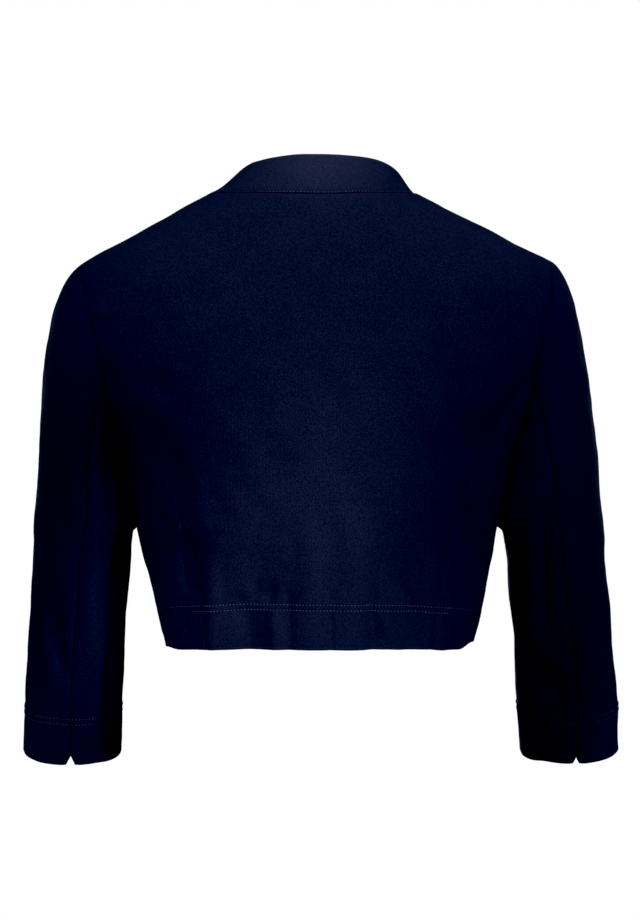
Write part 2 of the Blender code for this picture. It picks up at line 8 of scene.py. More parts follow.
import bpy
import numpy as np
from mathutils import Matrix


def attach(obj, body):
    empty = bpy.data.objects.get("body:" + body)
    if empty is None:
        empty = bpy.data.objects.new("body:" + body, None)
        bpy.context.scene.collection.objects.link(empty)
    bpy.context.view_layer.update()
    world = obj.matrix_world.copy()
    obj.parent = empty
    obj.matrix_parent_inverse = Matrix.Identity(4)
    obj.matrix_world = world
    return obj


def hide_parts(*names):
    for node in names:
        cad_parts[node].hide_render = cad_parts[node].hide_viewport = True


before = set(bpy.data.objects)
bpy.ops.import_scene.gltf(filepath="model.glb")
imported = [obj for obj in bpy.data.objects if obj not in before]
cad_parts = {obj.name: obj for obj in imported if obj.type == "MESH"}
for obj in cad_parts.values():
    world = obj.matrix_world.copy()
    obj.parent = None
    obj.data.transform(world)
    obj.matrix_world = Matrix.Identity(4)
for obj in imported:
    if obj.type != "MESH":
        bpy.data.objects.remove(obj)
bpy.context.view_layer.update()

bl_info = {
    "name": "Sweat Jacket",
    "version": (1, 0, 0),
    "blender": (4, 5, 0),
    "location": "View3D > Sidebar > Jacket",
    "description": "Cloth, sewing, stage and light of a cropped sweat jacket",
    "category": "Object",
}


def table(kind, rows):
    """Rows of a table with named columns."""
    return [kind(*row) for row in rows]


HEM_Z = -0.3798  # hem at the sides and in front
HEM_LIFT = 0.0027  # how much higher the hem lies at the middle of the back
CORNER_LEFT = 0.0025  # how much higher it lies at the left side seam
CORNER_RIGHT = 0.0065  # how much higher it lies at the right side seam
CORNER_FADE = 0.030  # height over the hem in which that runs out
SHOULDER_Z = -0.055  # shoulder point, top of the armhole
UNDERARM_Z = -0.215  # bottom of the armhole
PRINCESS_DEG = 94.5  # place on the armhole where the princess seam starts
FRONT_SCOOP = 0.006  # how much further in the armhole is cut at the front

# Level sections of the body, where side is the depth of the side line and shift the way off the middle
Section = namedtuple("Section", "z half_width back front square side shift")
BODY = table(Section, [
    (0.000, 0.0920, 0.0660, 0.0400, 2.00, 0.0000, 0.0042),
    (-0.020, 0.1295, 0.0730, 0.0520, 2.00, -0.0010, 0.0022),
    (-0.040, 0.1685, 0.0795, 0.0620, 2.00, -0.0020, 0.0008),
    (-0.055, 0.1980, 0.0840, 0.0680, 2.00, -0.0025, 0.0),
    (-0.070, 0.2190, 0.0880, 0.0735, 2.00, -0.0030, 0.0),
    (-0.090, 0.2330, 0.0920, 0.0810, 2.00, -0.0030, 0.0),
    (-0.115, 0.2370, 0.0960, 0.0900, 2.03, -0.0030, 0.0),
    (-0.140, 0.2300, 0.0990, 0.0990, 2.06, -0.0025, 0.0),
    (-0.165, 0.2110, 0.1008, 0.1080, 2.12, -0.0020, 0.0),
    (-0.190, 0.1855, 0.1012, 0.1150, 2.20, -0.0010, 0.0),
    (-0.215, 0.1675, 0.1005, 0.1205, 2.25, 0.0000, 0.0),
    (-0.235, 0.1603, 0.0995, 0.1235, 2.28, 0.0020, 0.0),
    (-0.255, 0.1556, 0.0980, 0.1250, 2.30, 0.0040, 0.0),
    (-0.280, 0.1506, 0.0963, 0.1225, 2.30, 0.0050, 0.0010),
    (-0.310, 0.1438, 0.0940, 0.1170, 2.30, 0.0050, -0.0003),
    (-0.345, 0.1362, 0.0910, 0.1095, 2.30, 0.0040, -0.0013),
    (-0.380, 0.1270, 0.0880, 0.1030, 2.30, 0.0030, -0.0010),
])

# Soft folds of the body as lines seen from behind (face 1) or in front (face -1), hollows under depth 0
BodyFold = namedtuple("BodyFold", "face x0 z0 x1 z1 width depth")
BODY_FOLDS = table(BodyFold, [
    (1, -0.169, -0.156, -0.147, -0.196, 0.011, -0.0025),
    (1, -0.147, -0.196, -0.138, -0.262, 0.013, -0.0035),
    (1, 0.172, -0.150, 0.155, -0.250, 0.011, -0.0030),
    (1, 0.127, -0.212, 0.117, -0.300, 0.016, -0.0028),
    (1, -0.004, -0.270, -0.008, -0.385, 0.030, 0.0026),
    (1, 0.047, -0.315, 0.050, -0.385, 0.018, -0.0026),
    (1, -0.064, -0.310, -0.068, -0.385, 0.020, -0.0028),
    (-1, 0.112, -0.255, 0.098, -0.385, 0.018, -0.0034),
    (-1, -0.106, -0.265, -0.101, -0.385, 0.020, -0.0030),
    (-1, 0.150, -0.150, 0.118, -0.205, 0.014, -0.0028),
    (-1, -0.152, -0.156, -0.112, -0.214, 0.015, -0.0030),
])

# Finer creases of the body, as the folds above, with their ends run out
BODY_CREASES = table(BodyFold, [
    (1, -0.1655, -0.1600, -0.1571, -0.1789, 0.0042, -0.0028),
    (1, -0.1571, -0.1789, -0.1450, -0.1960, 0.0044, -0.0034),
    (1, -0.1460, -0.1966, -0.1372, -0.2545, 0.0070, -0.0036),
    (1, -0.1550, -0.1898, -0.1478, -0.2545, 0.0062, 0.0022),
    (1, -0.1243, -0.1860, -0.1235, -0.2220, 0.0095, -0.0036),
    (1, -0.1226, -0.2386, -0.1120, -0.2780, 0.0034, -0.0018),
    (1, -0.1090, -0.2860, -0.1000, -0.3175, 0.0032, -0.0022),
    (1, -0.1300, -0.2340, -0.1250, -0.2600, 0.0048, 0.0018),
    (1, -0.0950, -0.2720, -0.0980, -0.3080, 0.0080, -0.0036),
    (1, -0.1285, -0.3320, -0.1277, -0.3600, 0.0044, -0.0022),
    (1, 0.1756, -0.1428, 0.1655, -0.1663, 0.0044, -0.0024),
    (1, 0.1655, -0.1663, 0.1625, -0.1830, 0.0036, -0.0018),
    (1, 0.1370, -0.1500, 0.1240, -0.1700, 0.0105, -0.0032),
    (1, 0.1613, -0.1646, 0.1579, -0.1915, 0.0046, 0.0016),
    (1, 0.1495, -0.1646, 0.1529, -0.1830, 0.0050, 0.0015),
    (1, 0.1580, -0.1880, 0.1570, -0.2450, 0.0023, -0.0011),
    (1, 0.1545, -0.1860, 0.1550, -0.2380, 0.0022, -0.0010),
    (1, 0.1500, -0.1900, 0.1510, -0.2460, 0.0026, -0.0012),
    (1, 0.1361, -0.2240, 0.1352, -0.2430, 0.0052, 0.0016),
    (1, 0.1275, -0.2480, 0.1302, -0.2660, 0.0046, 0.0016),
    (1, 0.1190, -0.2180, 0.1110, -0.2500, 0.0085, -0.0036),
    (1, 0.1270, -0.2680, 0.1240, -0.2800, 0.0054, -0.0022),
    (1, 0.1100, -0.2740, 0.1240, -0.2900, 0.0052, 0.0024),
    (1, 0.1090, -0.2850, 0.1060, -0.3260, 0.0100, -0.0044),
    (1, 0.1225, -0.3400, 0.1200, -0.3760, 0.0046, 0.0018),
    (1, 0.1110, -0.3420, 0.1100, -0.3700, 0.0062, -0.0028),
    (1, 0.1890, -0.0975, 0.1700, -0.1035, 0.0050, 0.0018),
    (1, 0.0870, -0.3050, 0.0880, -0.3840, 0.0090, 0.0032),
    (1, 0.0600, -0.3370, 0.0590, -0.3840, 0.0130, -0.0044),
    (1, 0.0550, -0.3300, 0.0360, -0.3325, 0.0110, -0.0032),
    (1, 0.0365, -0.3460, 0.0360, -0.3840, 0.0062, 0.0022),
    (1, 0.0240, -0.3300, 0.0235, -0.3840, 0.0050, -0.0018),
    (1, 0.0080, -0.2800, 0.0060, -0.3840, 0.0120, 0.0022),
    (1, -0.0100, -0.3430, -0.0108, -0.3840, 0.0034, -0.0014),
    (1, -0.0260, -0.2700, -0.0270, -0.3840, 0.0130, 0.0026),
    (1, -0.0437, -0.3250, -0.0455, -0.3840, 0.0066, -0.0036),
    (1, -0.0505, -0.3470, -0.0680, -0.3800, 0.0060, 0.0028),
    (1, -0.0650, -0.3170, -0.0750, -0.3380, 0.0090, -0.0036),
    (1, -0.0790, -0.3400, -0.0830, -0.3720, 0.0105, -0.0052),
    (1, -0.1015, -0.3370, -0.1020, -0.3460, 0.0050, -0.0026),
    (1, -0.0990, -0.3500, -0.1010, -0.3840, 0.0060, 0.0022),
    (-1, 0.1660, -0.1300, 0.1280, -0.1790, 0.0050, -0.0018),
    (-1, 0.1600, -0.1720, 0.1240, -0.2280, 0.0062, -0.0020),
    (-1, 0.1340, -0.2350, 0.1230, -0.3000, 0.0058, -0.0015),
    (-1, 0.0890, -0.3260, 0.0860, -0.3840, 0.0080, 0.0020),
    (-1, 0.1180, -0.3300, 0.1160, -0.3840, 0.0070, 0.0016),
    (-1, -0.1690, -0.1360, -0.1250, -0.1850, 0.0054, -0.0019),
    (-1, -0.1560, -0.1850, -0.1300, -0.2440, 0.0066, -0.0018),
    (-1, -0.1300, -0.2520, -0.1170, -0.3130, 0.0052, -0.0015),
    (-1, -0.0850, -0.3210, -0.0880, -0.3840, 0.0085, 0.0018),
    (-1, -0.1200, -0.3350, -0.1170, -0.3840, 0.0068, 0.0017),
])

# Seam lines as distance from the middle line at each height
SeamPlace = namedtuple("SeamPlace", "z x")
ARMHOLE = table(SeamPlace, [
    (-0.055, 0.1980),
    (-0.075, 0.1950),
    (-0.095, 0.1915),
    (-0.115, 0.1865),
    (-0.135, 0.1820),
    (-0.160, 0.1780),
    (-0.185, 0.1735),
    (-0.215, 0.1675),
])
PRINCESS = table(SeamPlace, [
    (-0.1413, 0.1810),
    (-0.176, 0.1600),
    (-0.197, 0.1480),
    (-0.248, 0.1200),
    (-0.290, 0.1090),
    (-0.322, 0.1015),
    (-0.345, 0.0960),
    (-0.380, 0.0925),
])
FRONT_SEAM = table(SeamPlace, [
    (0.004, 0.0845),
    (0.000, 0.0885),
    (-0.010, 0.0885),
    (-0.022, 0.0870),
    (-0.055, 0.0820),
    (-0.100, 0.0765),
    (-0.150, 0.0720),
    (-0.200, 0.0695),
    (-0.250, 0.0685),
    (-0.320, 0.0690),
    (-0.380, 0.0710),
])

# Free edge of the front band beside each height of its seam
BandEdge = namedtuple("BandEdge", "z edge_x edge_y edge_z")
FRONT_EDGE = table(BandEdge, [
    (0.004, 0.0595, 0.0000, 0.0240),
    (0.000, 0.0590, -0.0075, 0.0210),
    (-0.004, 0.0585, -0.0140, 0.0170),
    (-0.010, 0.0575, -0.0230, 0.0115),
    (-0.022, 0.0550, -0.0380, -0.0025),
    (-0.043, 0.0500, -0.0560, -0.0270),
    (-0.075, 0.0445, -0.0730, -0.0630),
    (-0.120, 0.0385, -0.0930, -0.1130),
    (-0.170, 0.0335, -0.1105, -0.1680),
    (-0.215, 0.0310, -0.1210, -0.2150),
    (-0.255, 0.0295, -0.1250, -0.2550),
    (-0.300, 0.0295, -0.1190, -0.3000),
    (-0.340, 0.0305, -0.1100, -0.3400),
    (-0.380, 0.0320, -0.1030, -0.3800),
])
COLLAR_EDGE_X = 0.0595  # half width of the collar's top edge
COLLAR_EDGE_Y = 0.047  # its depth at the middle of the back
COLLAR_SIDE_Z = 0.024  # its height at the shoulder seam
COLLAR_RISE = 0.0096  # how much higher it stands at the middle of the back
COLLAR_CREST = 0.90  # how early its top edge falls away to the sides
COLLAR_SHIFT = -0.0010  # how far the collar and front edges sit off the middle
NECK_LIFT = 0.004  # how much higher the neck seam lies at the shoulders
NECK_FADE = 0.030  # depth below the neck over which that lift runs out
COLLAR_CURL = 0.0024  # how far the collar bends in over its seam and out under its edge, beside the neck
BAND_SWELL = 0.0012  # swell of the band down the front
FLARE_END_Z = -0.060  # height where the collar's own swell has turned into that

# Sections of the hanging sleeve: outer and inner side, middle depth, half depth, forward tilt in degrees
Ring = namedtuple("Ring", "z outer inner middle half_depth tilt")
SLEEVE = table(Ring, [
    (-0.235, 0.2365, 0.1609, -0.0120, 0.0575, 2.0),
    (-0.255, 0.2382, 0.1558, -0.0165, 0.0565, 4.0),
    (-0.270, 0.2394, 0.1541, -0.0195, 0.0555, 5.0),
    (-0.285, 0.2403, 0.1568, -0.0230, 0.0545, 6.0),
    (-0.300, 0.2412, 0.1589, -0.0260, 0.0535, 7.5),
    (-0.340, 0.2445, 0.1628, -0.0345, 0.0510, 10.0),
    (-0.400, 0.2497, 0.1672, -0.0485, 0.0475, 13.0),
    (-0.440, 0.2521, 0.1691, -0.0600, 0.0455, 15.0),
    (-0.4665, 0.2535, 0.1715, -0.0685, 0.0440, 16.0),
])
SLEEVE_SQUARE = 2.15
DEGREE = 0.0008  # cloth round the arm for each degree
LEVEL = 0.2315  # cloth down the arm for each level

# Soft folds of the sleeves as lines on the cloth, between angles round the arm and levels down it
SleeveFold = namedtuple("SleeveFold", "side deg0 level0 deg1 level1 width depth")
SLEEVE_FOLDS = table(SleeveFold, [
    (1, 62.0, 1.42, 74.0, 1.86, 0.010, -0.0022),
    (1, 30.0, 0.62, 66.0, 1.12, 0.013, -0.0020),
    (1, -70.0, 1.22, -128.0, 1.36, 0.010, -0.0030),
    (1, -58.0, 1.52, -122.0, 1.50, 0.011, -0.0026),
    (-1, 118.0, 1.30, 104.0, 1.80, 0.012, -0.0022),
    (-1, 52.0, 0.80, 70.0, 1.30, 0.014, -0.0018),
    (-1, -64.0, 1.28, -130.0, 1.40, 0.011, -0.0028),
    (-1, -76.0, 1.58, -120.0, 1.54, 0.010, -0.0024),
])

# Finer creases of the sleeves, with their ends run out
SLEEVE_CREASES = table(SleeveFold, [
    (1, 66.0, 1.46, 83.0, 1.68, 0.0064, -0.0034),
    (1, 46.0, 1.48, 74.0, 1.76, 0.0060, 0.0018),
    (1, 102.0, 1.10, 114.0, 1.72, 0.0120, 0.0036),
    (1, 92.0, 1.900, 112.0, 1.950, 0.0045, -0.0024),
    (1, 90.0, 0.41, 105.0, 0.38, 0.0040, -0.0015),
    (1, 39.0, 0.78, 50.0, 0.86, 0.0090, -0.0016),
    (1, 27.0, 1.08, 34.0, 1.26, 0.0090, -0.0016),
    (1, 128.0, 0.60, 150.0, 0.98, 0.0050, -0.0009),
    (1, 10.0, 0.30, 48.0, 0.62, 0.0080, -0.0007),
    (1, -40.0, 1.10, -96.0, 1.26, 0.0048, -0.0014),
    (1, -84.0, 1.30, -150.0, 1.44, 0.0052, -0.0015),
    (1, -50.0, 1.44, -104.0, 1.42, 0.0050, -0.0012),
    (1, -30.0, 0.50, -92.0, 0.82, 0.0075, -0.0012),
    (1, -6.0, 1.20, 4.0, 1.70, 0.0080, -0.0007),
    (-1, 60.0, 1.24, 66.0, 1.66, 0.0085, 0.0008),
    (-1, 99.0, 1.08, 109.0, 1.50, 0.0060, -0.0030),
    (-1, 116.0, 1.06, 129.0, 1.50, 0.0056, 0.0018),
    (-1, 131.0, 1.52, 88.0, 1.67, 0.0080, 0.0018),
    (-1, 146.0, 1.62, 92.0, 1.78, 0.0130, -0.0046),
    (-1, 66.0, 1.85, 72.0, 1.89, 0.0060, -0.0012),
    (-1, 44.0, 1.60, 58.0, 1.90, 0.0080, -0.0008),
    (-1, 132.0, 0.62, 152.0, 0.98, 0.0050, -0.0009),
    (-1, 14.0, 0.34, 52.0, 0.70, 0.0085, -0.0006),
    (-1, -48.0, 1.14, -110.0, 1.30, 0.0052, -0.0014),
    (-1, -70.0, 1.42, -140.0, 1.50, 0.0048, -0.0014),
    (-1, -36.0, 0.56, -98.0, 0.86, 0.0080, -0.0011),
    (-1, 2.0, 1.26, -8.0, 1.64, 0.0075, -0.0007),
])

# What differs between the sides: cap, hang of the cuff, vent, ease and dip, and flare of the collar
Side = namedtuple("Side", "sign name spread fullness swing drop vent notch ease dip flare")
SIDES = table(Side, [
    (1.0, "left", 0.83, 0.70, -0.0023, 0.0008, 0.0034, 0.0072, 0.0, 0.0018, -0.0003),
    (-1.0, "right", 0.63, 0.50, 0.0023, -0.0010, 0.0025, 0.0046, 0.0011, 0.0026, 0.0014),
])
PRESS = 0.0060  # how far the sleeve is pressed to the body under the arm
CLEAR = 0.0002  # clear space kept between sleeve and body
CAP_OUT = 0.12  # how far the sleeve leans out as it leaves the armhole, under the arm
CAP_AROUND = 0.18  # how far it leans to the back and the front there
CAP_LEVEL = 0.34  # how much less it drops there at the shoulder
CAP_UNDER = 0.8  # fullness of the cap under the arm
CAP_ARRIVE = 1.05  # how far ahead the cap turns into the hanging sleeve
RING_STEP = 0.002  # small step down the sleeve
NEAR_SEAM = 0.002  # level nearest the armhole where a normal is taken
FOLD_RISE = 2.0  # share of a sleeve's folds gained for each level below the armhole
RIPPLE_RISE = 3.0  # share of its ripples gained likewise
FACE_FADE = 3.0  # how soon the body's folds set in behind or before the side line
CREASE_RUN = 0.25  # how far beyond its ends a crease runs out, as a share of its length
CREASE_LIFT = 0.45  # how much the cloth is lifted beside a crease
BAND_RIPPLE = 0.6  # share of the ripples at the free edge of a band

# Soft steps, each as the place where it starts and the width it takes, with sines for places round the body
CORNER_SIDE = (0.90, 0.10)  # round the body, where the hem's corners lift
TOUCH_SIDE = (0.90, 0.06)  # round the body, where the sleeve touches it and creases leave off
TOUCH_TOP = (0.200, 0.015)  # depth below the neck where that starts
TOUCH_END = (-0.300, 0.020)  # height where it ends
INNER_SIDE = (0.50, 0.40)  # round the sleeve, its side beside the body
PRESS_START = (0.05, 0.20)  # level where the sleeve comes to lie on the body
PRESS_END = (1.165, 0.03)  # level where it leaves the body again
DIP_START = (1.75, 0.25)  # level where the cuff dips
EASE_START = (1.0, 0.3)  # level where the sleeve's ease sets in
CAP_JOIN = (0.0, 0.15)  # level over which the sleeve leaves the line of its seam
FLAT_SIDE = (0.078, 0.010)  # distance from the middle where shoulder seams are pressed flat
FLAT_DEPTH = (0.015, 0.020)  # distance before and behind the shoulder line where that leaves off
FLAT_HEIGHT = (-0.085, 0.025)  # height where it sets in
TURN_EDGE = (-0.001, 0.002)  # distance from the upper sewn row where the turned-up cloth ends
HEM_DRAWN = (0.66, 0.14)  # round the body, where the hem's thread is drawn in
CUFF_DRAWN = (96.0, 20.0)  # angle round the sleeve where the cuff's thread is drawn in
NECK_DRAWN = (0.44, 0.12)  # round the neck, where the neck's thread is drawn in further

# Sleeve seams as angles round the arm: 0 outside, 90 back, 180 at the body, -90 front
SleeveSeam = namedtuple("SleeveSeam", "level left right")
BACK_SEAM = table(SleeveSeam, [
    (0.00, 108.0, 108.0),
    (0.20, 110.3, 109.5),
    (0.50, 109.2, 104.5),
    (0.80, 105.0, 100.3),
    (1.03, 98.3, 91.6),
    (1.20, 91.6, 85.8),
    (1.45, 89.8, 84.3),
    (1.75, 89.0, 81.3),
    (2.00, 91.0, 86.0),
])
FRONT_SEAM_DEG = -135.0

# Flat cut of each piece: width, length and area without seam and hem turnings
Cut = namedtuple("Cut", "name width length area sewn_to")
CUTS = table(Cut, [
    ("back", 0.405, 0.390, 0.124, "collar"),
    ("side_back_left", 0.088, 0.245, 0.0155, "back"),
    ("side_back_right", 0.088, 0.245, 0.0155, "back"),
    ("front_left", 0.170, 0.395, 0.0505, "back"),
    ("front_right", 0.170, 0.395, 0.0505, "back"),
    ("front_band_left", 0.048, 0.465, 0.0170, "front_left"),
    ("front_band_right", 0.048, 0.465, 0.0170, "front_right"),
    ("upper_sleeve_left", 0.205, 0.440, 0.0700, "back"),
    ("upper_sleeve_right", 0.205, 0.440, 0.0680, "back"),
    ("under_sleeve_left", 0.125, 0.345, 0.0320, "upper_sleeve_left"),
    ("under_sleeve_right", 0.125, 0.345, 0.0325, "upper_sleeve_right"),
    ("collar", 0.260, 0.042, 0.0085, "back"),
])

HEM_ROW = 0.0322  # height of the upper sewn row over the hem, at the sides
HEM_ROW_GAIN = 0.0052  # what that gains at the back
HEM_ROW_TURN = 0.20  # turn at which it gains most
CUFF_ROW = 0.0400  # height of the upper sewn row over the cuff
NECK_ROW = 0.0012  # distance of the sewn row from the neck seam
BAND_WIDTH = 0.038  # width of a band across the cloth
NECK_SHARE = NECK_ROW / BAND_WIDTH  # place of that row as a share of the band's width
NECK_LEAST = 0.6  # how much of the neck's thread is drawn in at the middle of the back
ROW_CLEAR = 0.01  # turn left free at the ends of a sewn row
FRONT_ROW_TOP = 0.001  # cloth left free at the top of the front bands' rows
FRONT_ROW_END = 0.002  # cloth left free at their foot
ROW_FAR = 0.02  # distance that keeps the twin rows off the bands
HEM_POINTS = 600  # points along a sewn row at the hem
CUFF_POINTS = 260  # at a cuff
NECK_POINTS = 200  # at the neck
FRONT_POINTS = 320  # down a front band
STITCH_LEAST = 0.86  # smallest stitch as a share of the usual one
STITCH_MOST = 1.12  # largest stitch
STITCH_SEED = 5
SLEEVE_CLOTH = 0.238  # cloth down the hanging sleeve for each level
FAR = 1.0  # distance given where no seam or rim is near
THREAD_LIFT = 0.0001  # height of the thread over the cloth
THREAD_DRAWN = 0.0005  # how deep it is drawn in where it hardly shows

MESH_STEP = 0.0022  # spacing of the cloth's points
EDGE_STEPS = np.array([0.0, 0.0003, 0.0007, 0.0012, 0.0020, 0.0032])  # closer points beside an edge
SHORT_CLOTH = 0.02  # length of cloth under which those lie closer still
TRIALS = 121  # trial points over a row before its columns are laid
POINTED = 1e-5  # width under which a row of points is one point
BACK_ARM_ROWS = 56  # rows down the armhole on the back
SIDE_ARM_ROWS = 44  # on a side panel
FRONT_ARM_ROWS = 96  # on a front

# Lengths of cloth that set how many points are laid
SHOULDER_RUN = 0.100
BACK_RUN = 0.36
SIDE_RUN = 0.080
FRONT_RUN = 0.130
BAND_RUN = 0.040
NECK_RUN = 0.240
Half = namedtuple("Half", "name cap width")
HALVES = table(Half, [
    ("upper_sleeve_", 0.170, 0.175),
    ("under_sleeve_", 0.080, 0.095),
])

SEAM_ROUND = 0.0012  # rounding of the cloth where it turns into a seam
SEAM_DIP = 0.0011  # how deep the cloth is drawn in at a seam
SEAM_ROLL = 0.0027  # how far from the seam it is drawn in
SEAM_JOIN = 0.0045  # how far from a seam the cloth turns to lie with the piece it is sewn to
SEAM_PRESSED = 0.12  # share of the drawing-in left along the shoulders, where seams are pressed flat
HEM_SWELL = 0.0003  # how much the doubled hem stands out
HEM_TURN = 0.0012  # thickness of the turned-up hem on the inside
RIM_ROUND = 0.45  # rounding of a free rim as a share of the thickness
INSIDE_DIP = 0.8  # share of a seam's drawing-in on the inside
WORN_WIDTH = 0.0015  # width of the worn rim

WALE = 0.00115  # width of a knitted wale
COURSE = 0.0009  # height of a course
FACE_HEIGHT = 0.00040  # how far the knitted face stands out
LOOP_WIDE = 0.0018  # width of two loops on the reverse
LOOP_TALL = 0.0015  # their height
LOOP_HEIGHT = 0.00030  # how far they stand out
ROW_DENT = 0.0008  # width of the dent under a sewn row, and of the painted shade in it
DENT_DEPTH = 0.00045
PLY = 0.0006  # length of a twist of the thread
PLY_HEIGHT = 0.00008  # how far its plies stand out

# Grain of the cloth: noise of a scale that stands a height out
Grain = namedtuple("Grain", "scale height")
NAP = Grain(1500.0, 0.00010)
YARN = Grain(950.0, 0.00014)
FLUFF = Grain(420.0, 0.00005)
DRIFT_SCALE = 40.0  # scale of the darker patches

# Low ripples left in the cloth by wear and washing
RIPPLES = 26
RIPPLE_LONGEST = 0.062
RIPPLE_SHORTEST = 0.013
RIPPLE_HEIGHT = 0.00022
RIPPLE_FALL = 1.2  # how soon shorter ripples get lower
RIPPLE_SEED = 11


class JacketSizes(bpy.types.PropertyGroup):
    """Sizes of the cloth and the sewing."""

    cloth: bpy.props.FloatProperty(
        name="Cloth", description="Thickness of the single cloth", default=0.0018, unit="LENGTH")
    band: bpy.props.FloatProperty(
        name="Band", description="Thickness of the folded neck and front band", default=0.0028,
        unit="LENGTH")
    twin_gap: bpy.props.FloatProperty(
        name="Twin rows", description="Distance between the two sewn rows", default=0.0045, unit="LENGTH")
    stitch_pitch: bpy.props.FloatProperty(
        name="Stitch pitch", description="Distance from stitch to stitch", default=0.00285, unit="LENGTH")
    stitch_length: bpy.props.FloatProperty(
        name="Stitch length", description="Length of thread that shows", default=0.0017, unit="LENGTH")
    thread: bpy.props.FloatProperty(
        name="Thread", description="Width of the thread", default=0.00095, unit="LENGTH")


class JacketColours(bpy.types.PropertyGroup):
    """Colours of the cloth, the thread and the stage."""

    navy: bpy.props.FloatVectorProperty(
        name="Navy", description="Face of the sweat cloth", subtype="COLOR",
        default=(0.0134, 0.0144, 0.0340))
    # painted sheen: the band's navy is made lighter and greyer than the body's to stand in for its sheen
    # under the light from above
    band_navy: bpy.props.FloatVectorProperty(
        name="Band", description="Face of the neck and front band", subtype="COLOR",
        default=(0.0141, 0.0159, 0.0356))
    reverse: bpy.props.FloatVectorProperty(
        name="Reverse", description="Looped inside of the cloth", subtype="COLOR",
        default=(0.0130, 0.0145, 0.0320))
    thread: bpy.props.FloatVectorProperty(
        name="Thread", description="Sewing thread", subtype="COLOR", default=(0.0520, 0.0550, 0.1150))
    floor: bpy.props.FloatVectorProperty(
        name="Floor", description="Pale studio floor", subtype="COLOR", default=(0.80, 0.80, 0.80))


def column(rows, name):
    """Smooth function through one named column of a table, over the table's first column."""
    first = rows[0]._fields[0]
    order = sorted(rows, key=lambda row: getattr(row, first))
    at = np.array([getattr(row, first) for row in order])
    value = np.array([getattr(row, name) for row in order])
    step = np.diff(at)
    grade = np.diff(value) / step
    inner = (grade[:-1] * step[1:] + grade[1:] * step[:-1]) / (step[1:] + step[:-1])
    slope = np.concatenate([grade[:1], inner, grade[-1:]])

    def smooth(place):
        place = np.asarray(place, float)
        index = np.clip(np.searchsorted(at, place) - 1, 0, len(step) - 1)
        width = step[index]
        part = (place - at[index]) / width
        inside = np.clip(part, 0.0, 1.0)
        low = slope[index] * width
        high = slope[index + 1] * width
        bend = inside * (1.0 - inside)
        curve = value[index] + (value[index + 1] - value[index]) * inside * inside * (3.0 - 2.0 * inside)
        curve = curve + bend * ((1.0 - inside) * low - inside * high)
        beyond = np.where(part < 0.0, part * low, 0.0) + np.where(part > 1.0, (part - 1.0) * high, 0.0)
        return curve + beyond

    return smooth


BODY_AT = {name: column(BODY, name) for name in Section._fields[1:]}
SLEEVE_AT = {name: column(SLEEVE, name) for name in Ring._fields[1:]}
EDGE_AT = {name: column(FRONT_EDGE, name) for name in BandEdge._fields[1:]}
BACK_SEAM_AT = {name: column(BACK_SEAM, name) for name in SleeveSeam._fields[1:]}
ARMHOLE_AT = column(ARMHOLE, "x")
PRINCESS_AT = column(PRINCESS, "x")
FRONT_SEAM_AT = column(FRONT_SEAM, "x")


def unit(vectors):
    """Vectors brought to length one."""
    return vectors / np.maximum(np.linalg.norm(vectors, axis=-1, keepdims=True), 1e-12)


def rise(value, start, width):
    """Soft step from 0 at its start to 1 a width further on."""
    inside = np.clip((value - start) / width, 0.0, 1.0)
    return inside * inside * (3.0 - 2.0 * inside)


def root(value, power):
    """Power of the size of a value, with its sign kept."""
    return np.sign(value) * np.abs(value) ** power


def plain_body(z, turn):
    """Point of the body without folds: turn 0 is the middle of the back, pi the middle of the front."""
    z, turn = np.broadcast_arrays(np.asarray(z, float), np.asarray(turn, float))
    power = 2.0 / BODY_AT["square"](z)
    across = root(np.sin(turn), power)
    along = root(np.cos(turn), power)
    side = BODY_AT["side"](z)
    depth = np.where(along > 0.0, BODY_AT["back"](z) - side, BODY_AT["front"](z) + side)
    x = BODY_AT["half_width"](z) * across + BODY_AT["shift"](z)
    return np.stack([x, side + depth * along, z], axis=-1)


def fold_place(place, start, end):
    """Distance from a fold's line, and how far along it, at places on the cloth."""
    line = np.subtract(end, start)
    part = np.sum((place - start) * line, axis=-1) / np.dot(line, line)
    inside = np.clip(part, 0.0, 1.0)
    gap = np.linalg.norm(place - start - inside[..., None] * line, axis=-1)
    return gap, part


def fold_height(place, start, end, fold):
    """Height of one soft fold at places on the cloth, highest along its line."""
    gap, _ = fold_place(place, start, end)
    return fold.depth * np.exp(-(gap / fold.width) ** 2)


def crease_height(place, start, end, fold):
    """Height of one crease: a trough or ridge that runs out at its ends, with cloth lifted beside it."""
    gap, part = fold_place(place, start, end)
    run_out = rise(np.minimum(part, 1.0 - part), -CREASE_RUN, 2.0 * CREASE_RUN)
    across = (gap / fold.width) ** 2
    return fold.depth * run_out * (1.0 - CREASE_LIFT * across) * np.exp(-across)


def face_normal(surface, first, second, small=1e-4):
    """Normal of a surface from small steps in its two directions."""
    along_first = surface(first + small, second) - surface(first - small, second)
    along_second = surface(first, second + small) - surface(first, second - small)
    return unit(np.cross(along_first, along_second))


def body_relief(points, turn, folds, height_of):
    """Summed height of a table of folds at points of the body."""
    height = np.zeros(turn.shape)
    for fold in folds:
        faces = np.clip(FACE_FADE * fold.face * np.cos(turn), 0.0, 1.0)
        height += faces * height_of(points[..., ::2], (fold.x0, fold.z0), (fold.x1, fold.z1), fold)
    return height


def body(z, turn):
    """Point of the body's outer face with its main folds."""
    z, turn = np.broadcast_arrays(np.asarray(z, float), np.asarray(turn, float))
    points = plain_body(z, turn)
    height = body_relief(points, turn, BODY_FOLDS, fold_height)
    return points + face_normal(plain_body, z, turn) * height[..., None]


def turn_at(z, x):
    """Turn at which the back half of a level section lies at this distance from the middle."""
    share = np.clip(x / BODY_AT["half_width"](z), 0.0, 1.0)
    return np.arcsin(share ** (BODY_AT["square"](z) / 2.0))


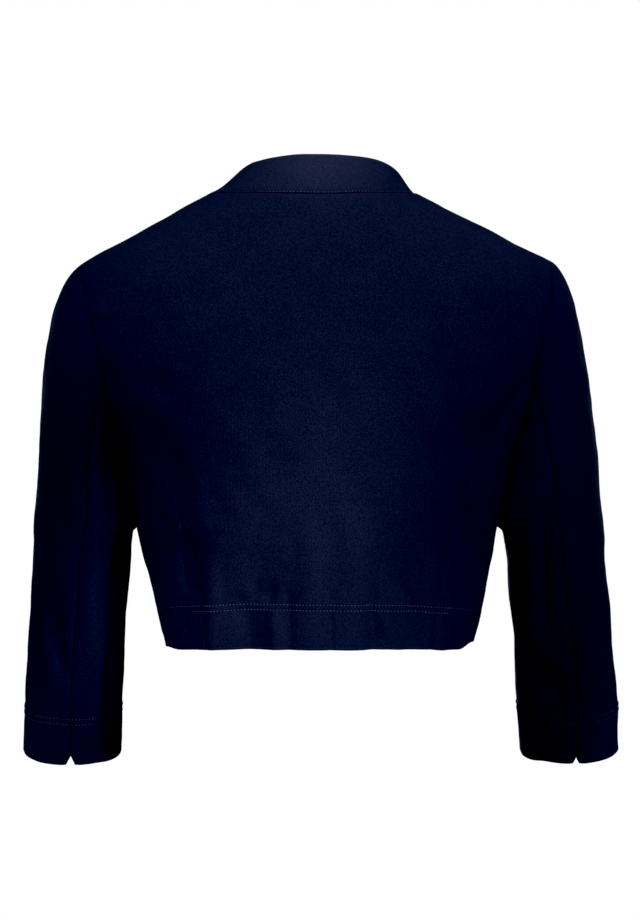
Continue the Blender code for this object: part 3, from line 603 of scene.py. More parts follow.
def armhole_z(degrees):
    """Height of the armhole at an angle round it: 0 at the shoulder point, 180 under the arm."""
    middle = (SHOULDER_Z + UNDERARM_Z) / 2.0
    return middle + (SHOULDER_Z - UNDERARM_Z) / 2.0 * np.cos(np.radians(degrees))


def armhole_turn(degrees):
    """Turn of the armhole seam on the body, at the back for angles over 0 and at the front under 0."""
    degrees = np.asarray(degrees, float)
    z = armhole_z(degrees)
    scoop = np.where(degrees < 0.0, FRONT_SCOOP * np.sin(np.radians(degrees)) ** 2, 0.0)
    turn = turn_at(z, ARMHOLE_AT(z) - scoop)
    turn = np.where(np.abs(np.cos(np.radians(degrees))) > 1.0 - 1e-9, math.pi / 2.0, turn)
    return np.where(degrees < 0.0, math.pi - turn, turn)


def sleeve_ring(side, degrees, z):
    """Point of a hanging section of the sleeve, on the left side."""
    angle = np.radians(degrees)
    part = (z - SLEEVE[0].z) / (SLEEVE[-1].z - SLEEVE[0].z)
    outer = SLEEVE_AT["outer"](z)
    inner = SLEEVE_AT["inner"](z)
    half = (outer - inner) / 2.0
    depth = SLEEVE_AT["half_depth"](z) * root(np.sin(angle), 2.0 / SLEEVE_SQUARE)
    tilt = np.radians(SLEEVE_AT["tilt"](z))
    x = (outer + inner) / 2.0 + half * root(np.cos(angle), 2.0 / SLEEVE_SQUARE) + side.swing * part
    low = z - depth * np.sin(tilt) - side.drop * part
    return np.stack([x, SLEEVE_AT["middle"](z) + depth * np.cos(tilt), low], axis=-1)


def plain_sleeve(side, degrees, level):
    """Point of the sleeve without folds, on the left side: level 0 armhole, 1 under the arm, 2 cuff."""
    angle = np.radians(degrees)
    top_z = SLEEVE[0].z
    mirror = np.array([side.sign, 1.0, 1.0])
    start = body(armhole_z(degrees), side.sign * armhole_turn(degrees)) * mirror
    end = sleeve_ring(side, degrees, np.full(degrees.shape, top_z))
    reach = np.linalg.norm(end - start, axis=-1, keepdims=True)
    high = ((1.0 + np.cos(angle)) / 2.0)[..., None]
    out = CAP_OUT + side.spread * high[..., 0]
    leave = np.stack([out, CAP_AROUND * np.sin(angle), -1.0 + CAP_LEVEL * high[..., 0]], axis=-1)
    leave = unit(leave) * reach * (CAP_UNDER + (side.fullness - CAP_UNDER) * high)
    lower = sleeve_ring(side, degrees, np.full(degrees.shape, top_z - RING_STEP))
    arrive = unit(lower - end) * reach * CAP_ARRIVE
    part = np.clip(level, 0.0, 1.0)[..., None]
    rest = 1.0 - part
    cap = start * rest * rest * (1.0 + 2.0 * part) + end * part * part * (3.0 - 2.0 * part)
    cap = cap + leave * part * rest * rest - arrive * part * part * rest
    tube = sleeve_ring(side, degrees, top_z + (SLEEVE[-1].z - top_z) * (level - 1.0))
    return np.where(level[..., None] < 1.0, cap, tube)


def sleeve_relief(side, degrees, level, folds, height_of):
    """Summed height of a table of folds at places on the sleeve."""
    place = np.stack([degrees * DEGREE, level * LEVEL], axis=-1)
    height = np.zeros(degrees.shape)
    for fold in folds:
        if fold.side == side.sign:
            start = (fold.deg0 * DEGREE, fold.level0 * LEVEL)
            end = (fold.deg1 * DEGREE, fold.level1 * LEVEL)
            height += height_of(place, start, end, fold)
    return height * np.clip(FOLD_RISE * level, 0.0, 1.0)


def sleeve_normal(side, degrees, level):
    """Outward normal of the plain sleeve on the left side."""
    inside = np.maximum(level, NEAR_SEAM)
    return face_normal(lambda down, around: plain_sleeve(side, around, down), inside, degrees, 1e-3)


def vent_turn(side, level):
    """Angle by which each edge of the vent's notch stands back from the seam line."""
    part = np.clip(1.0 - (2.0 - level) * SLEEVE_CLOTH / side.notch, 0.0, 1.0)
    return np.degrees(side.vent * part / SLEEVE[-1].half_depth)


def hem_z(turn):
    """Height of the hem, arched a little at the back."""
    return HEM_Z + HEM_LIFT * np.maximum(np.cos(turn), 0.0)


def corner_lift(z, turn):
    """How much a row beside the hem is lifted at the side seams."""
    corner = rise(np.abs(np.sin(turn)), *CORNER_SIDE) * (1.0 - rise(z, HEM_Z, CORNER_FADE))
    return corner * np.where(turn > 0.0, CORNER_LEFT, CORNER_RIGHT)


def arched(z, turn):
    """Height of a row of the back, lifted to the shoulders at the neck and to the middle at the hem."""
    below = np.clip((UNDERARM_Z - z) / (UNDERARM_Z - HEM_Z), 0.0, 1.0)
    above = np.clip(1.0 + z / NECK_FADE, 0.0, 1.0)
    lift = HEM_LIFT * np.maximum(np.cos(turn), 0.0) * below + NECK_LIFT * np.sin(turn) ** 2 * above
    return z + lift + corner_lift(z, turn)


def hem_row(turn):
    """Height over the hem of the upper sewn row."""
    return HEM_ROW + HEM_ROW_GAIN * np.maximum(np.cos(turn - HEM_ROW_TURN), 0.0)


def make_ripples():
    """Directions, phases and heights of the low ripples."""
    rng = np.random.default_rng(RIPPLE_SEED)
    length = np.geomspace(RIPPLE_LONGEST, RIPPLE_SHORTEST, RIPPLES)
    way = unit(rng.normal(size=(RIPPLES, 3)))
    phase = rng.uniform(0.0, 2.0 * math.pi, RIPPLES)
    height = (length / RIPPLE_LONGEST) ** RIPPLE_FALL
    return way * (2.0 * math.pi / length)[:, None], phase, height * RIPPLE_HEIGHT


RIPPLE_WAY, RIPPLE_PHASE, RIPPLE_SIZE = make_ripples()


def ripple_height(points):
    """Height of the low ripples at points of the cloth."""
    height = np.zeros(points.shape[:-1])
    for way, phase, size in zip(RIPPLE_WAY, RIPPLE_PHASE, RIPPLE_SIZE):
        height += size * np.sin(points @ way + phase)
    return height


def body_side(sign, z, y):
    """Distance from the middle line to the body's side at a height and depth."""
    side = BODY_AT["side"](z)
    depth = np.where(y > side, BODY_AT["back"](z) - side, BODY_AT["front"](z) + side)
    power = BODY_AT["square"](z)
    rest = np.clip(1.0 - np.abs((y - side) / depth) ** power, 0.0, 1.0)
    return BODY_AT["half_width"](z) * rest ** (1.0 / power) + sign * BODY_AT["shift"](z)


def body_cloth(z, turn):
    """Points of the body's cloth with folds, creases and ripples, and its normals."""
    z, turn = np.broadcast_arrays(np.asarray(z, float), np.asarray(turn, float))
    points = plain_body(z, turn)
    normals = face_normal(plain_body, z, turn)
    height = body_relief(points, turn, BODY_CREASES, crease_height) + ripple_height(points)
    touched = rise(np.abs(np.sin(turn)), *TOUCH_SIDE) * rise(-z, *TOUCH_TOP) * rise(z, *TOUCH_END)
    height = height * (1.0 - touched) + body_relief(points, turn, BODY_FOLDS, fold_height)
    return points + normals * height[..., None], normals


def beside_body(side, points, degrees, level):
    """Points of the left sleeve pressed to the body under the arm, and clear of it."""
    inner = rise(-np.cos(np.radians(degrees)), *INNER_SIDE)
    press = PRESS * (1.0 - rise(level, *PRESS_END))
    limit = body_side(side.sign, points[..., 2], points[..., 1]) + CLEAR
    pressed = np.maximum(points[..., 0] - press, limit)
    points[..., 0] += (pressed - points[..., 0]) * inner * rise(level, *PRESS_START)
    points[..., 2] -= side.dip * inner * rise(level, *DIP_START)
    return points


def joined(normals, sewn_to, distance):
    """Normals turned, beside a seam, to those of the piece on its other side."""
    near = np.exp(-(distance / SEAM_JOIN) ** 2)
    return unit(normals + (sewn_to - normals) * near[..., None])


def sleeve_cloth(side, degrees, level):
    """Points of a sleeve's cloth with folds, creases and ripples, and its normals."""
    degrees, level = np.broadcast_arrays(np.asarray(degrees, float), np.asarray(level, float))
    mirror = np.array([side.sign, 1.0, 1.0])
    points = plain_sleeve(side, degrees, level)
    normals = sleeve_normal(side, degrees, level)
    height = sleeve_relief(side, degrees, level, SLEEVE_FOLDS, fold_height)
    height += sleeve_relief(side, degrees, level, SLEEVE_CREASES, crease_height)
    height += ripple_height(points * mirror) * np.clip(RIPPLE_RISE * level, 0.0, 1.0)
    height += side.ease * rise(level, *EASE_START)
    points = beside_body(side, points + normals * height[..., None], degrees, level) * mirror
    seam, sewn_to = body_cloth(armhole_z(degrees), side.sign * armhole_turn(degrees))
    start = plain_sleeve(side, degrees, np.zeros(level.shape)) * mirror
    points += (seam - start) * (1.0 - rise(level, *CAP_JOIN))[..., None]
    return points, joined(normals * mirror, sewn_to, np.linalg.norm(points - seam, axis=-1))


def grid_normal(points):
    """Normals of a grid of points, from its own rows and columns."""
    return unit(np.cross(np.gradient(points, axis=0), np.gradient(points, axis=1)))


def band_cloth(seam, sewn_to, edge, swell, curl, normal, share, facing):
    """Points and normals of a band from its seam to its free edge, swelled and curled between them."""
    straight = seam[:, None, :] + (edge - seam)[:, None, :] * share[:, None]
    bend = 4.0 * share * (1.0 - share) * (swell[:, None] + curl[:, None] * (2.0 * share - 1.0))
    points = straight + normal[:, None, :] * bend[..., None]
    normals = grid_normal(points) * facing
    points = points + normals * (BAND_RIPPLE * share * ripple_height(points))[..., None]
    return points, joined(normals, sewn_to[:, None, :], run_along(points, 1))


def collar_cloth(turn, share):
    """Points and normals of the collar at turns round the back of the neck."""
    seam, sewn_to = body_cloth(NECK_LIFT * np.sin(turn) ** 2, turn)
    height = COLLAR_SIDE_Z + COLLAR_RISE * np.maximum(np.cos(turn), 0.0) ** COLLAR_CREST
    across = COLLAR_EDGE_X * np.sin(turn) + COLLAR_SHIFT
    edge = np.stack([across, COLLAR_EDGE_Y * np.cos(turn), height], axis=-1)
    normal = unit(np.cross(edge - seam, np.gradient(seam, axis=0)))
    beside = np.sin(turn) ** 2
    swell = np.where(turn > 0.0, SIDES[0].flare, SIDES[1].flare) * beside
    return band_cloth(seam, sewn_to, edge, swell, COLLAR_CURL * beside, normal, share, -1.0)


def front_band_cloth(side, z, share):
    """Points and normals of a front band at heights of its seam."""
    seam, sewn_to = body_cloth(z, side.sign * (math.pi - turn_at(z, FRONT_SEAM_AT(z))))
    across = side.sign * EDGE_AT["edge_x"](z) + COLLAR_SHIFT
    edge = np.stack([across, EDGE_AT["edge_y"](z), EDGE_AT["edge_z"](z)], axis=-1)
    normal = unit(np.cross(edge - seam, np.gradient(seam, axis=0))) * side.sign
    down = np.clip(z / FLARE_END_Z, 0.0, 1.0)
    swell = side.flare + (BAND_SWELL - side.flare) * down
    curl = COLLAR_CURL * (1.0 - down)
    return band_cloth(seam, sewn_to, edge, swell, curl, normal, share, -side.sign)


def eased(total, count):
    """Distances over a length of cloth: close together beside both ends, even between them."""
    edge = EDGE_STEPS * min(1.0, total / SHORT_CLOTH)
    middle = np.linspace(edge[-1], total - edge[-1], count - 2 * len(edge) + 2)[1:-1]
    return np.concatenate([edge, middle, total - edge[::-1]])


def steps_over(length):
    """Number of points laid over a length of cloth."""
    return 2 * len(EDGE_STEPS) + int(length / MESH_STEP)


def stretch(first, last, length):
    """Values from first to last laid over a length of cloth, closer beside both ends."""
    return first + (last - first) * eased(length, steps_over(length)) / length


def laid_columns(points_at, low, high, count):
    """Places of evenly laid columns on each row between two edges."""
    trial = low[:, None] + (high - low)[:, None] * np.linspace(0.0, 1.0, TRIALS)
    points = points_at(trial)
    run = np.cumsum(np.linalg.norm(np.diff(points, axis=1), axis=-1), axis=1)
    run = np.concatenate([np.zeros((len(low), 1)), run], axis=1)
    places = [np.interp(eased(far[-1], count), far, row) for far, row in zip(run, trial)]
    return np.array(places)


def run_along(points, axis):
    """Length of cloth from the first row or column, at each point of a grid."""
    step = np.linalg.norm(np.diff(points, axis=axis), axis=-1)
    start = np.zeros_like(np.take(step, [0], axis=axis))
    return np.concatenate([start, np.cumsum(step, axis=axis)], axis=axis)


def rim_loop(shape):
    """Index pairs once round the rim of a grid."""
    last_row = shape[0] - 1
    last_column = shape[1] - 1
    loop = [(0, c) for c in range(last_column)]
    loop += [(r, last_column) for r in range(last_row)]
    loop += [(last_row, c) for c in range(last_column, 0, -1)]
    loop += [(r, 0) for r in range(last_row, 0, -1)]
    return loop


def shell_faces(points, normals):
    """Faces of a closed shell: outer grid, inner grid and rim, all facing outwards."""
    rows, columns = points.shape[:2]
    ids = np.arange(rows * columns).reshape(rows, columns)
    for row in range(rows):
        if np.ptp(points[row], axis=0).max() < POINTED:
            ids[row] = ids[row, 0]
    quads = np.stack([ids[:-1, :-1], ids[:-1, 1:], ids[1:, 1:], ids[1:, :-1]], axis=-1).reshape(-1, 4)
    r, c = rows // 2, columns // 2
    turned = np.cross(points[r, c + 1] - points[r, c], points[r + 1, c] - points[r, c])
    outward = np.dot(turned, normals[r, c]) > 0.0
    if not outward:
        quads = quads[:, ::-1]
    faces = quads.tolist() + (quads[:, ::-1] + rows * columns).tolist()
    loop = [int(ids[index]) for index in rim_loop(points.shape)]
    for first, second in zip(loop, loop[1:] + loop[:1]):
        rim = [second, first, first + rows * columns, second + rows * columns]
        faces.append(rim if outward else rim[::-1])
    kept = []
    for face in faces:
        corners = list(dict.fromkeys(face))
        if len(corners) > 2:
            kept.append(corners)
    return kept


def rolled(distance, radius):
    """How far the cloth's face falls away beside an edge rounded to a radius."""
    return radius * (1.0 - np.sqrt(1.0 - (1.0 - np.clip(distance / radius, 0.0, 1.0)) ** 2))


def drawn_in(distance):
    """How deep the cloth is drawn in at a distance from its seam."""
    return SEAM_DIP * np.exp(-(distance / SEAM_ROLL) ** 2)


def seam_pull(points):
    """How much of its drawing-in a seam keeps at points of the cloth: least along the shoulders."""
    beside = rise(np.abs(points[..., 0]), *FLAT_SIDE)
    ridge = 1.0 - rise(np.abs(points[..., 1]), *FLAT_DEPTH)
    high = rise(points[..., 2], *FLAT_HEIGHT)
    return 1.0 - (1.0 - SEAM_PRESSED) * beside * ridge * high


def placed(name, data):
    """Object made from its data and put in the scene."""
    thing = bpy.data.objects.new(name, data)
    bpy.context.scene.collection.objects.link(thing)
    return thing


def cloth_shell(name, points, normals, thickness, free, sew, climb, finish):
    """Closed thin shell of one cut piece, rolled at its edges and drawn in at its seams."""
    across = run_along(points, 1)
    down = run_along(points, 0)
    edges = {"left": across, "right": across[:, -1:] - across, "top": down, "bottom": down[-1:] - down}
    seam = np.full(across.shape, FAR)
    rim = np.full(across.shape, FAR)
    for place, distance in edges.items():
        if place in free:
            rim = np.minimum(rim, distance)
        else:
            seam = np.minimum(seam, distance)
    rim_roll = rolled(rim, thickness * RIM_ROUND)
    pull = seam_pull(points)
    roll = np.maximum(rim_roll, pull * rolled(seam, SEAM_ROUND))
    dip = pull * drawn_in(seam)
    doubled = 1.0 - rise(sew, *TURN_EDGE)
    outer = points + normals * (HEM_SWELL * doubled - dip - roll)[..., None]
    inner = points - normals * (thickness + HEM_TURN * doubled + INSIDE_DIP * dip - rim_roll)[..., None]
    corners = np.concatenate([outer.reshape(-1, 3), inner.reshape(-1, 3)])
    mesh = bpy.data.meshes.new(name)
    mesh.from_pydata(corners.tolist(), [], shell_faces(points, normals))
    along = across - across[:, points.shape[1] // 2][:, None]
    places = np.tile(np.stack([along, climb], axis=-1).reshape(-1, 2), (2, 1))
    loops = np.empty(len(mesh.loops), dtype=np.int32)
    mesh.loops.foreach_get("vertex_index", loops)
    mesh.uv_layers.new(name="cloth").data.foreach_set("uv", places[loops].astype(np.float32).ravel())
    worn = np.exp(-rim / WORN_WIDTH)
    values = {
        "inside": np.repeat([0.0, 1.0], seam.size),
        "sew": np.tile(sew.ravel(), 2),
        "worn": np.tile(worn.ravel(), 2),
    }
    for key, value in values.items():
        mesh.attributes.new(key, "FLOAT", "POINT").data.foreach_set("value", value.astype(np.float32))
    mesh.validate()
    mesh.shade_smooth()
    mesh.materials.append(finish)
    piece = placed(name + "_cloth", mesh)
    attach(piece, "root")
    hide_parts(name)
    cut = next(row for row in CUTS if row.name == name)
    return piece


def body_piece(name, z, low, high, width, row_height):
    """Shell of a body panel between two turns on each row."""
    turn = laid_columns(lambda trial: plain_body(z[:, None], trial), low, high, steps_over(width))
    height = row_height(z[:, None], turn)
    points, normals = body_cloth(height, turn)
    climb = height - hem_z(turn)
    sew = climb - hem_row(turn)
    return cloth_shell(name, points, normals, sizes().cloth, {"bottom"}, sew, climb, face_cloth())


def sizes():
    """Sizes set in the sidebar."""
    return bpy.context.scene.jacket_sizes


def colours():
    """Colours set in the sidebar."""
    return bpy.context.scene.jacket_colours


class Value:
    """Number on a shader socket, worked on with plain operators."""

    def __init__(self, finish, socket):
        self.finish = finish
        self.socket = socket

    def __add__(self, other):
        return self.finish.maths("ADD", self, other)

    def __sub__(self, other):
        return self.finish.maths("SUBTRACT", self, other)

    def __rsub__(self, other):
        return self.finish.maths("SUBTRACT", other, self)

    def __mul__(self, other):
        return self.finish.maths("MULTIPLY", self, other)

    def __truediv__(self, other):
        return self.finish.maths("DIVIDE", self, other)

    __radd__ = __add__
    __rmul__ = __mul__


class Tree:
    """Empty tree of nodes, with one way to add any node."""

    def __init__(self, tree):
        self.tree = tree
        self.tree.nodes.clear()

    def node(self, kind, settings=None, values=None):
        """Add a node: its settings first, then values or links for its sockets."""
        made = self.tree.nodes.new(kind)
        for name, setting in (settings or {}).items():
            setattr(made, name, setting)
        for name, value in (values or {}).items():
            if isinstance(value, Value):
                value = value.socket
            if isinstance(value, bpy.types.NodeSocket):
                self.tree.links.new(value, made.inputs[name])
            else:
                made.inputs[name].default_value = value
        return made


class Finish(Tree):
    """Material of one finish, with the sums that its looks are made of."""

    def __init__(self, name):
        self.material = bpy.data.materials.new(name)
        self.material.use_nodes = True
        super().__init__(self.material.node_tree)

    def maths(self, operation, *terms):
        """Number worked out by one Math node."""
        made = self.node("ShaderNodeMath", {"operation": operation}, dict(enumerate(terms)))
        return Value(self, made.outputs[0])

    def attribute(self, name):
        """Number kept on the points of the cloth."""
        made = self.node("ShaderNodeAttribute", {"attribute_name": name})
        return Value(self, made.outputs["Fac"])

    def noise(self, place, scale, detail):
        """Soft noise, about 0 to 1."""
        made = self.node("ShaderNodeTexNoise", None, {"Vector": place, "Scale": scale, "Detail": detail})
        return Value(self, made.outputs["Fac"])

    def blend(self, share, first, second):
        """Colour between two colours."""
        made = self.node("ShaderNodeMix", {"data_type": "RGBA"}, {0: share, 6: first, 7: second})
        return made.outputs[2]

    def ridge(self, distance, width):
        """Bell of height one where a distance is near zero."""
        part = distance / width
        return self.maths("EXPONENT", part * part * -1.0)

    def end(self, shader_settings):
        """Close the tree with the surface shader."""
        shader = self.node("ShaderNodeBsdfPrincipled", None, shader_settings)
        self.node("ShaderNodeOutputMaterial", None, {"Surface": shader.outputs[0]})
        return self.material


def phase(way, length):
    """Angle of a wave of one length, along a way over the cloth."""
    return way * (2.0 * math.pi / length)


def solid(colour, factor=1.0):
    """Colour with full cover, made lighter or darker by a factor."""
    return (colour[0] * factor, colour[1] * factor, colour[2] * factor, 1.0)


def cloth_finish(name, colour):
    """Sweat cloth: knitted face, looped reverse with painted shade between its loops, heathered yarn, sewn
    rows pressed in with painted shade in their dents, worn rims.
    """
    made = Finish(name)
    flat = made.node("ShaderNodeUVMap", {"uv_map": "cloth"}).outputs[0]
    apart = made.node("ShaderNodeSeparateXYZ", None, {0: flat})
    round_way = Value(made, apart.outputs[0])
    up_way = Value(made, apart.outputs[1])
    place = made.node("ShaderNodeTexCoord").outputs["Object"]
    inside = made.attribute("inside")
    worn = made.attribute("worn")
    sew = made.attribute("sew")
    rows = made.ridge(sew, ROW_DENT) + made.ridge(sew + sizes().twin_gap, ROW_DENT)

    # knitted face: wales with slanted loops
    wale = made.maths("ABSOLUTE", made.maths("FRACT", round_way / WALE) - 0.5)
    loop = made.maths("SINE", phase(up_way, COURSE) + wale * 5.0)
    face = (0.25 - wale * wale) * (1.0 + 0.35 * loop)
    # looped reverse
    across = made.maths("SINE", phase(round_way, LOOP_WIDE))
    along = made.maths("SINE", phase(up_way, LOOP_TALL) + across * 0.8)
    loops = across * along * 0.5 + 0.5
    nap = made.noise(place, NAP.scale, 2.0)
    yarn = made.noise(place, YARN.scale, 2.0)
    drift = made.noise(place, DRIFT_SCALE, 2.0)
    fluff = made.noise(place, FLUFF.scale, 2.0)
    knit = face * FACE_HEIGHT + (loops * LOOP_HEIGHT - face * FACE_HEIGHT) * inside
    height = knit + nap * NAP.height + yarn * YARN.height + fluff * FLUFF.height - rows * DENT_DEPTH
    bump = made.node("ShaderNodeBump", None, {"Strength": 0.75, "Distance": 1.0, "Height": height})

    heather = made.maths("MULTIPLY_ADD", fluff, 0.5, yarn * 2.6 - 1.05)
    outer = made.blend(heather, solid(colour, 0.55), solid(colour, 1.50))
    outer = made.blend(made.maths("MULTIPLY", drift, 0.34), outer, solid(colour, 0.72))
    outer = made.blend(worn * 0.30, outer, solid(colour, 1.5))
    # painted shade: the cloth is darkened in the dents under the sewn rows
    outer = made.blend(rows * 0.35, outer, solid(colour, 0.45))
    # painted shade: the reverse is darker in the hollows between its loops and lighter on their tops
    loop_side_painted_shade = made.blend(loops, solid(colours().reverse, 0.70), solid(colours().reverse, 1.25))
    paint = made.blend(inside, outer, loop_side_painted_shade)
    rough = 0.80 + nap * 0.16
    return made.end({
        "Base Color": paint,
        "Roughness": rough,
        "Specular IOR Level": 0.02,
        "Sheen Weight": 0.012,
        "Sheen Roughness": 0.40,
        "Sheen Tint": (0.30, 0.50, 1.0, 1.0),
        "Normal": bump.outputs[0],
    })


def thread_finish():
    """Sewing thread: two plies with painted shade between them, and a slight gloss."""
    made = Finish("sewing_thread")
    place = made.node("ShaderNodeTexCoord").outputs["Object"]
    apart = made.node("ShaderNodeSeparateXYZ", None, {0: place})
    sweep = Value(made, apart.outputs[0]) + Value(made, apart.outputs[1]) + Value(made, apart.outputs[2])
    ply = made.maths("SINE", phase(sweep, PLY)) * 0.5 + 0.5
    tone = made.noise(place, 300.0, 2.0)
    bump = made.node("ShaderNodeBump", None, {"Strength": 0.5, "Distance": 1.0, "Height": ply * PLY_HEIGHT})
    # painted shade: the thread is darker in the grooves between its plies, with tone that differs at random
    # added
    shade = ply * 0.5 + tone * 0.4
    paint = made.blend(shade, solid(colours().thread, 0.75), solid(colours().thread, 1.35))
    return made.end({
        "Base Color": paint,
        "Roughness": 0.60 + tone * 0.15,
        "Specular IOR Level": 0.05,
        "Normal": bump.outputs[0],
    })


def floor_finish():
    """Pale matt studio floor."""
    made = Finish("pale_floor")
    place = made.node("ShaderNodeTexCoord").outputs["Object"]
    tone = made.noise(place, 6.0, 3.0)
    paint = made.blend(tone, solid(colours().floor, 0.97), solid(colours().floor, 1.03))
    return made.end({"Base Color": paint, "Roughness": 0.7 + tone * 0.1})


def finish_named(name, maker, *settings):
    """Material by name, made the first time it is asked for."""
    return bpy.data.materials.get(name) or maker(*settings)


def face_cloth():
    """Finish of the single cloth."""
    return finish_named("face_cloth", cloth_finish, "face_cloth", tuple(colours().navy))


def band_face():
    """Finish of the folded neck and front band, in a lighter, greyer navy that paints its sheen under the
    light from above.
    """
    return finish_named("band_cloth", cloth_finish, "band_cloth", tuple(colours().band_navy))


def neck_heights(top):
    """Heights from the neck seam to the shoulder point."""
    return stretch(top, SHOULDER_Z, SHOULDER_RUN)[:-len(EDGE_STEPS)]


def level_rows(z, turn):
    """Height of a row of the front, level but for the side seam's corner."""
    return z + corner_lift(z, turn)


def down_to_hem(top):
    """Heights from a point of the armhole to the hem."""
    return stretch(top, HEM_Z, top - HEM_Z)[len(EDGE_STEPS):]


class JACKET_OT_back(bpy.types.Operator):
    """Lay the back and the two side panels over their solids."""

    bl_idname = "jacket.back"
    bl_label = "Back and side panels"

    def execute(self, context):
        arm_deg = np.linspace(0.0, PRINCESS_DEG, BACK_ARM_ROWS)
        lower = down_to_hem(armhole_z(PRINCESS_DEG))
        upper = neck_heights(0.0)
        z = np.concatenate([upper, armhole_z(arm_deg), lower])
        limit = np.full(z.shape, math.pi / 2.0)
        split = len(upper)
        limit[split:split + len(arm_deg)] = armhole_turn(arm_deg)
        limit[split + len(arm_deg):] = turn_at(lower, PRINCESS_AT(lower))
        body_piece("back", z, -limit, limit, BACK_RUN, arched)
        arm_deg = np.linspace(PRINCESS_DEG, 180.0, SIDE_ARM_ROWS)
        lower = down_to_hem(UNDERARM_Z)
        z = np.concatenate([armhole_z(arm_deg), lower])
        limit = np.full(z.shape, math.pi / 2.0)
        limit[:len(arm_deg)] = armhole_turn(arm_deg)
        start = turn_at(z, PRINCESS_AT(z))
        start[0] = limit[0]
        for side in SIDES:
            ends = (start * side.sign, limit * side.sign)
            body_piece("side_back_" + side.name, z, *ends, SIDE_RUN, arched)
        return {"FINISHED"}


class JACKET_OT_fronts(bpy.types.Operator):
    """Lay the two fronts over their solids."""

    bl_idname = "jacket.fronts"
    bl_label = "Fronts"

    def execute(self, context):
        arm_deg = -np.linspace(0.0, 180.0, FRONT_ARM_ROWS)
        lower = down_to_hem(UNDERARM_Z)
        upper = neck_heights(NECK_LIFT)
        z = np.concatenate([upper, armhole_z(arm_deg), lower])
        start = np.full(z.shape, math.pi / 2.0)
        split = len(upper)
        start[split:split + len(arm_deg)] = armhole_turn(arm_deg)
        end = math.pi - turn_at(z, FRONT_SEAM_AT(z))
        for side in SIDES:
            ends = (start * side.sign, end * side.sign)
            body_piece("front_" + side.name, z, *ends, FRONT_RUN, level_rows)
        return {"FINISHED"}


class JACKET_OT_bands(bpy.types.Operator):
    """Lay the collar and the two front bands over their solids."""

    bl_idname = "jacket.bands"
    bl_label = "Collar and front bands"

    def execute(self, context):
        share = stretch(0.0, 1.0, BAND_RUN)
        turn = stretch(-math.pi / 2.0, math.pi / 2.0, NECK_RUN)
        self.lay("collar", collar_cloth(turn, share), {"right"})
        z = np.concatenate([neck_heights(NECK_LIFT), down_to_hem(SHOULDER_Z)])
        for side in SIDES:
            self.lay("front_band_" + side.name, front_band_cloth(side, z, share), {"right", "bottom"})
        return {"FINISHED"}

    def lay(self, name, cloth, free):
        """Lay one band, clear of the twin rows."""
        points, normals = cloth
        climb = run_along(points, 1)
        sew = climb - NECK_ROW + ROW_FAR
        cloth_shell(name, points, normals, sizes().band, free, sew, climb, band_face())


def half_turn(degrees):
    """Angles over 180 degrees given as the same angle under 0."""
    return np.where(degrees > 180.0 + 1e-9, degrees - 360.0, degrees)


class JACKET_OT_sleeves(bpy.types.Operator):
    """Lay the upper and under sleeves over their solids."""

    bl_idname = "jacket.sleeves"
    bl_label = "Sleeves"

    def execute(self, context):
        tube = stretch(1.0, 2.0, SLEEVE_CLOTH)[len(EDGE_STEPS):]
        for side in SIDES:
            for half in HALVES:
                cap = stretch(0.0, 1.0, half.cap)[:-len(EDGE_STEPS)]
                self.lay(side, half, np.concatenate([cap, tube]))
        return {"FINISHED"}

    def lay(self, side, half, level):
        """Lay one half of a sleeve between its two seams."""
        seam = BACK_SEAM_AT[side.name](level)
        vent = vent_turn(side, level)
        low = np.full(level.shape, FRONT_SEAM_DEG)
        high = seam - vent
        if half.name == "under_sleeve_":
            low, high = seam + vent, low + 360.0

        def plain(trial):
            return plain_sleeve(side, half_turn(trial), np.broadcast_to(level[:, None], trial.shape))

        degrees = laid_columns(plain, low, high, steps_over(half.width))
        points, normals = sleeve_cloth(side, half_turn(degrees), level[:, None])
        climb = np.broadcast_to((2.0 - level)[:, None] * SLEEVE_CLOTH, degrees.shape)
        sew = climb - CUFF_ROW
        name = half.name + side.name
        cloth_shell(name, points, normals, sizes().cloth, {"bottom"}, sew, climb, face_cloth())


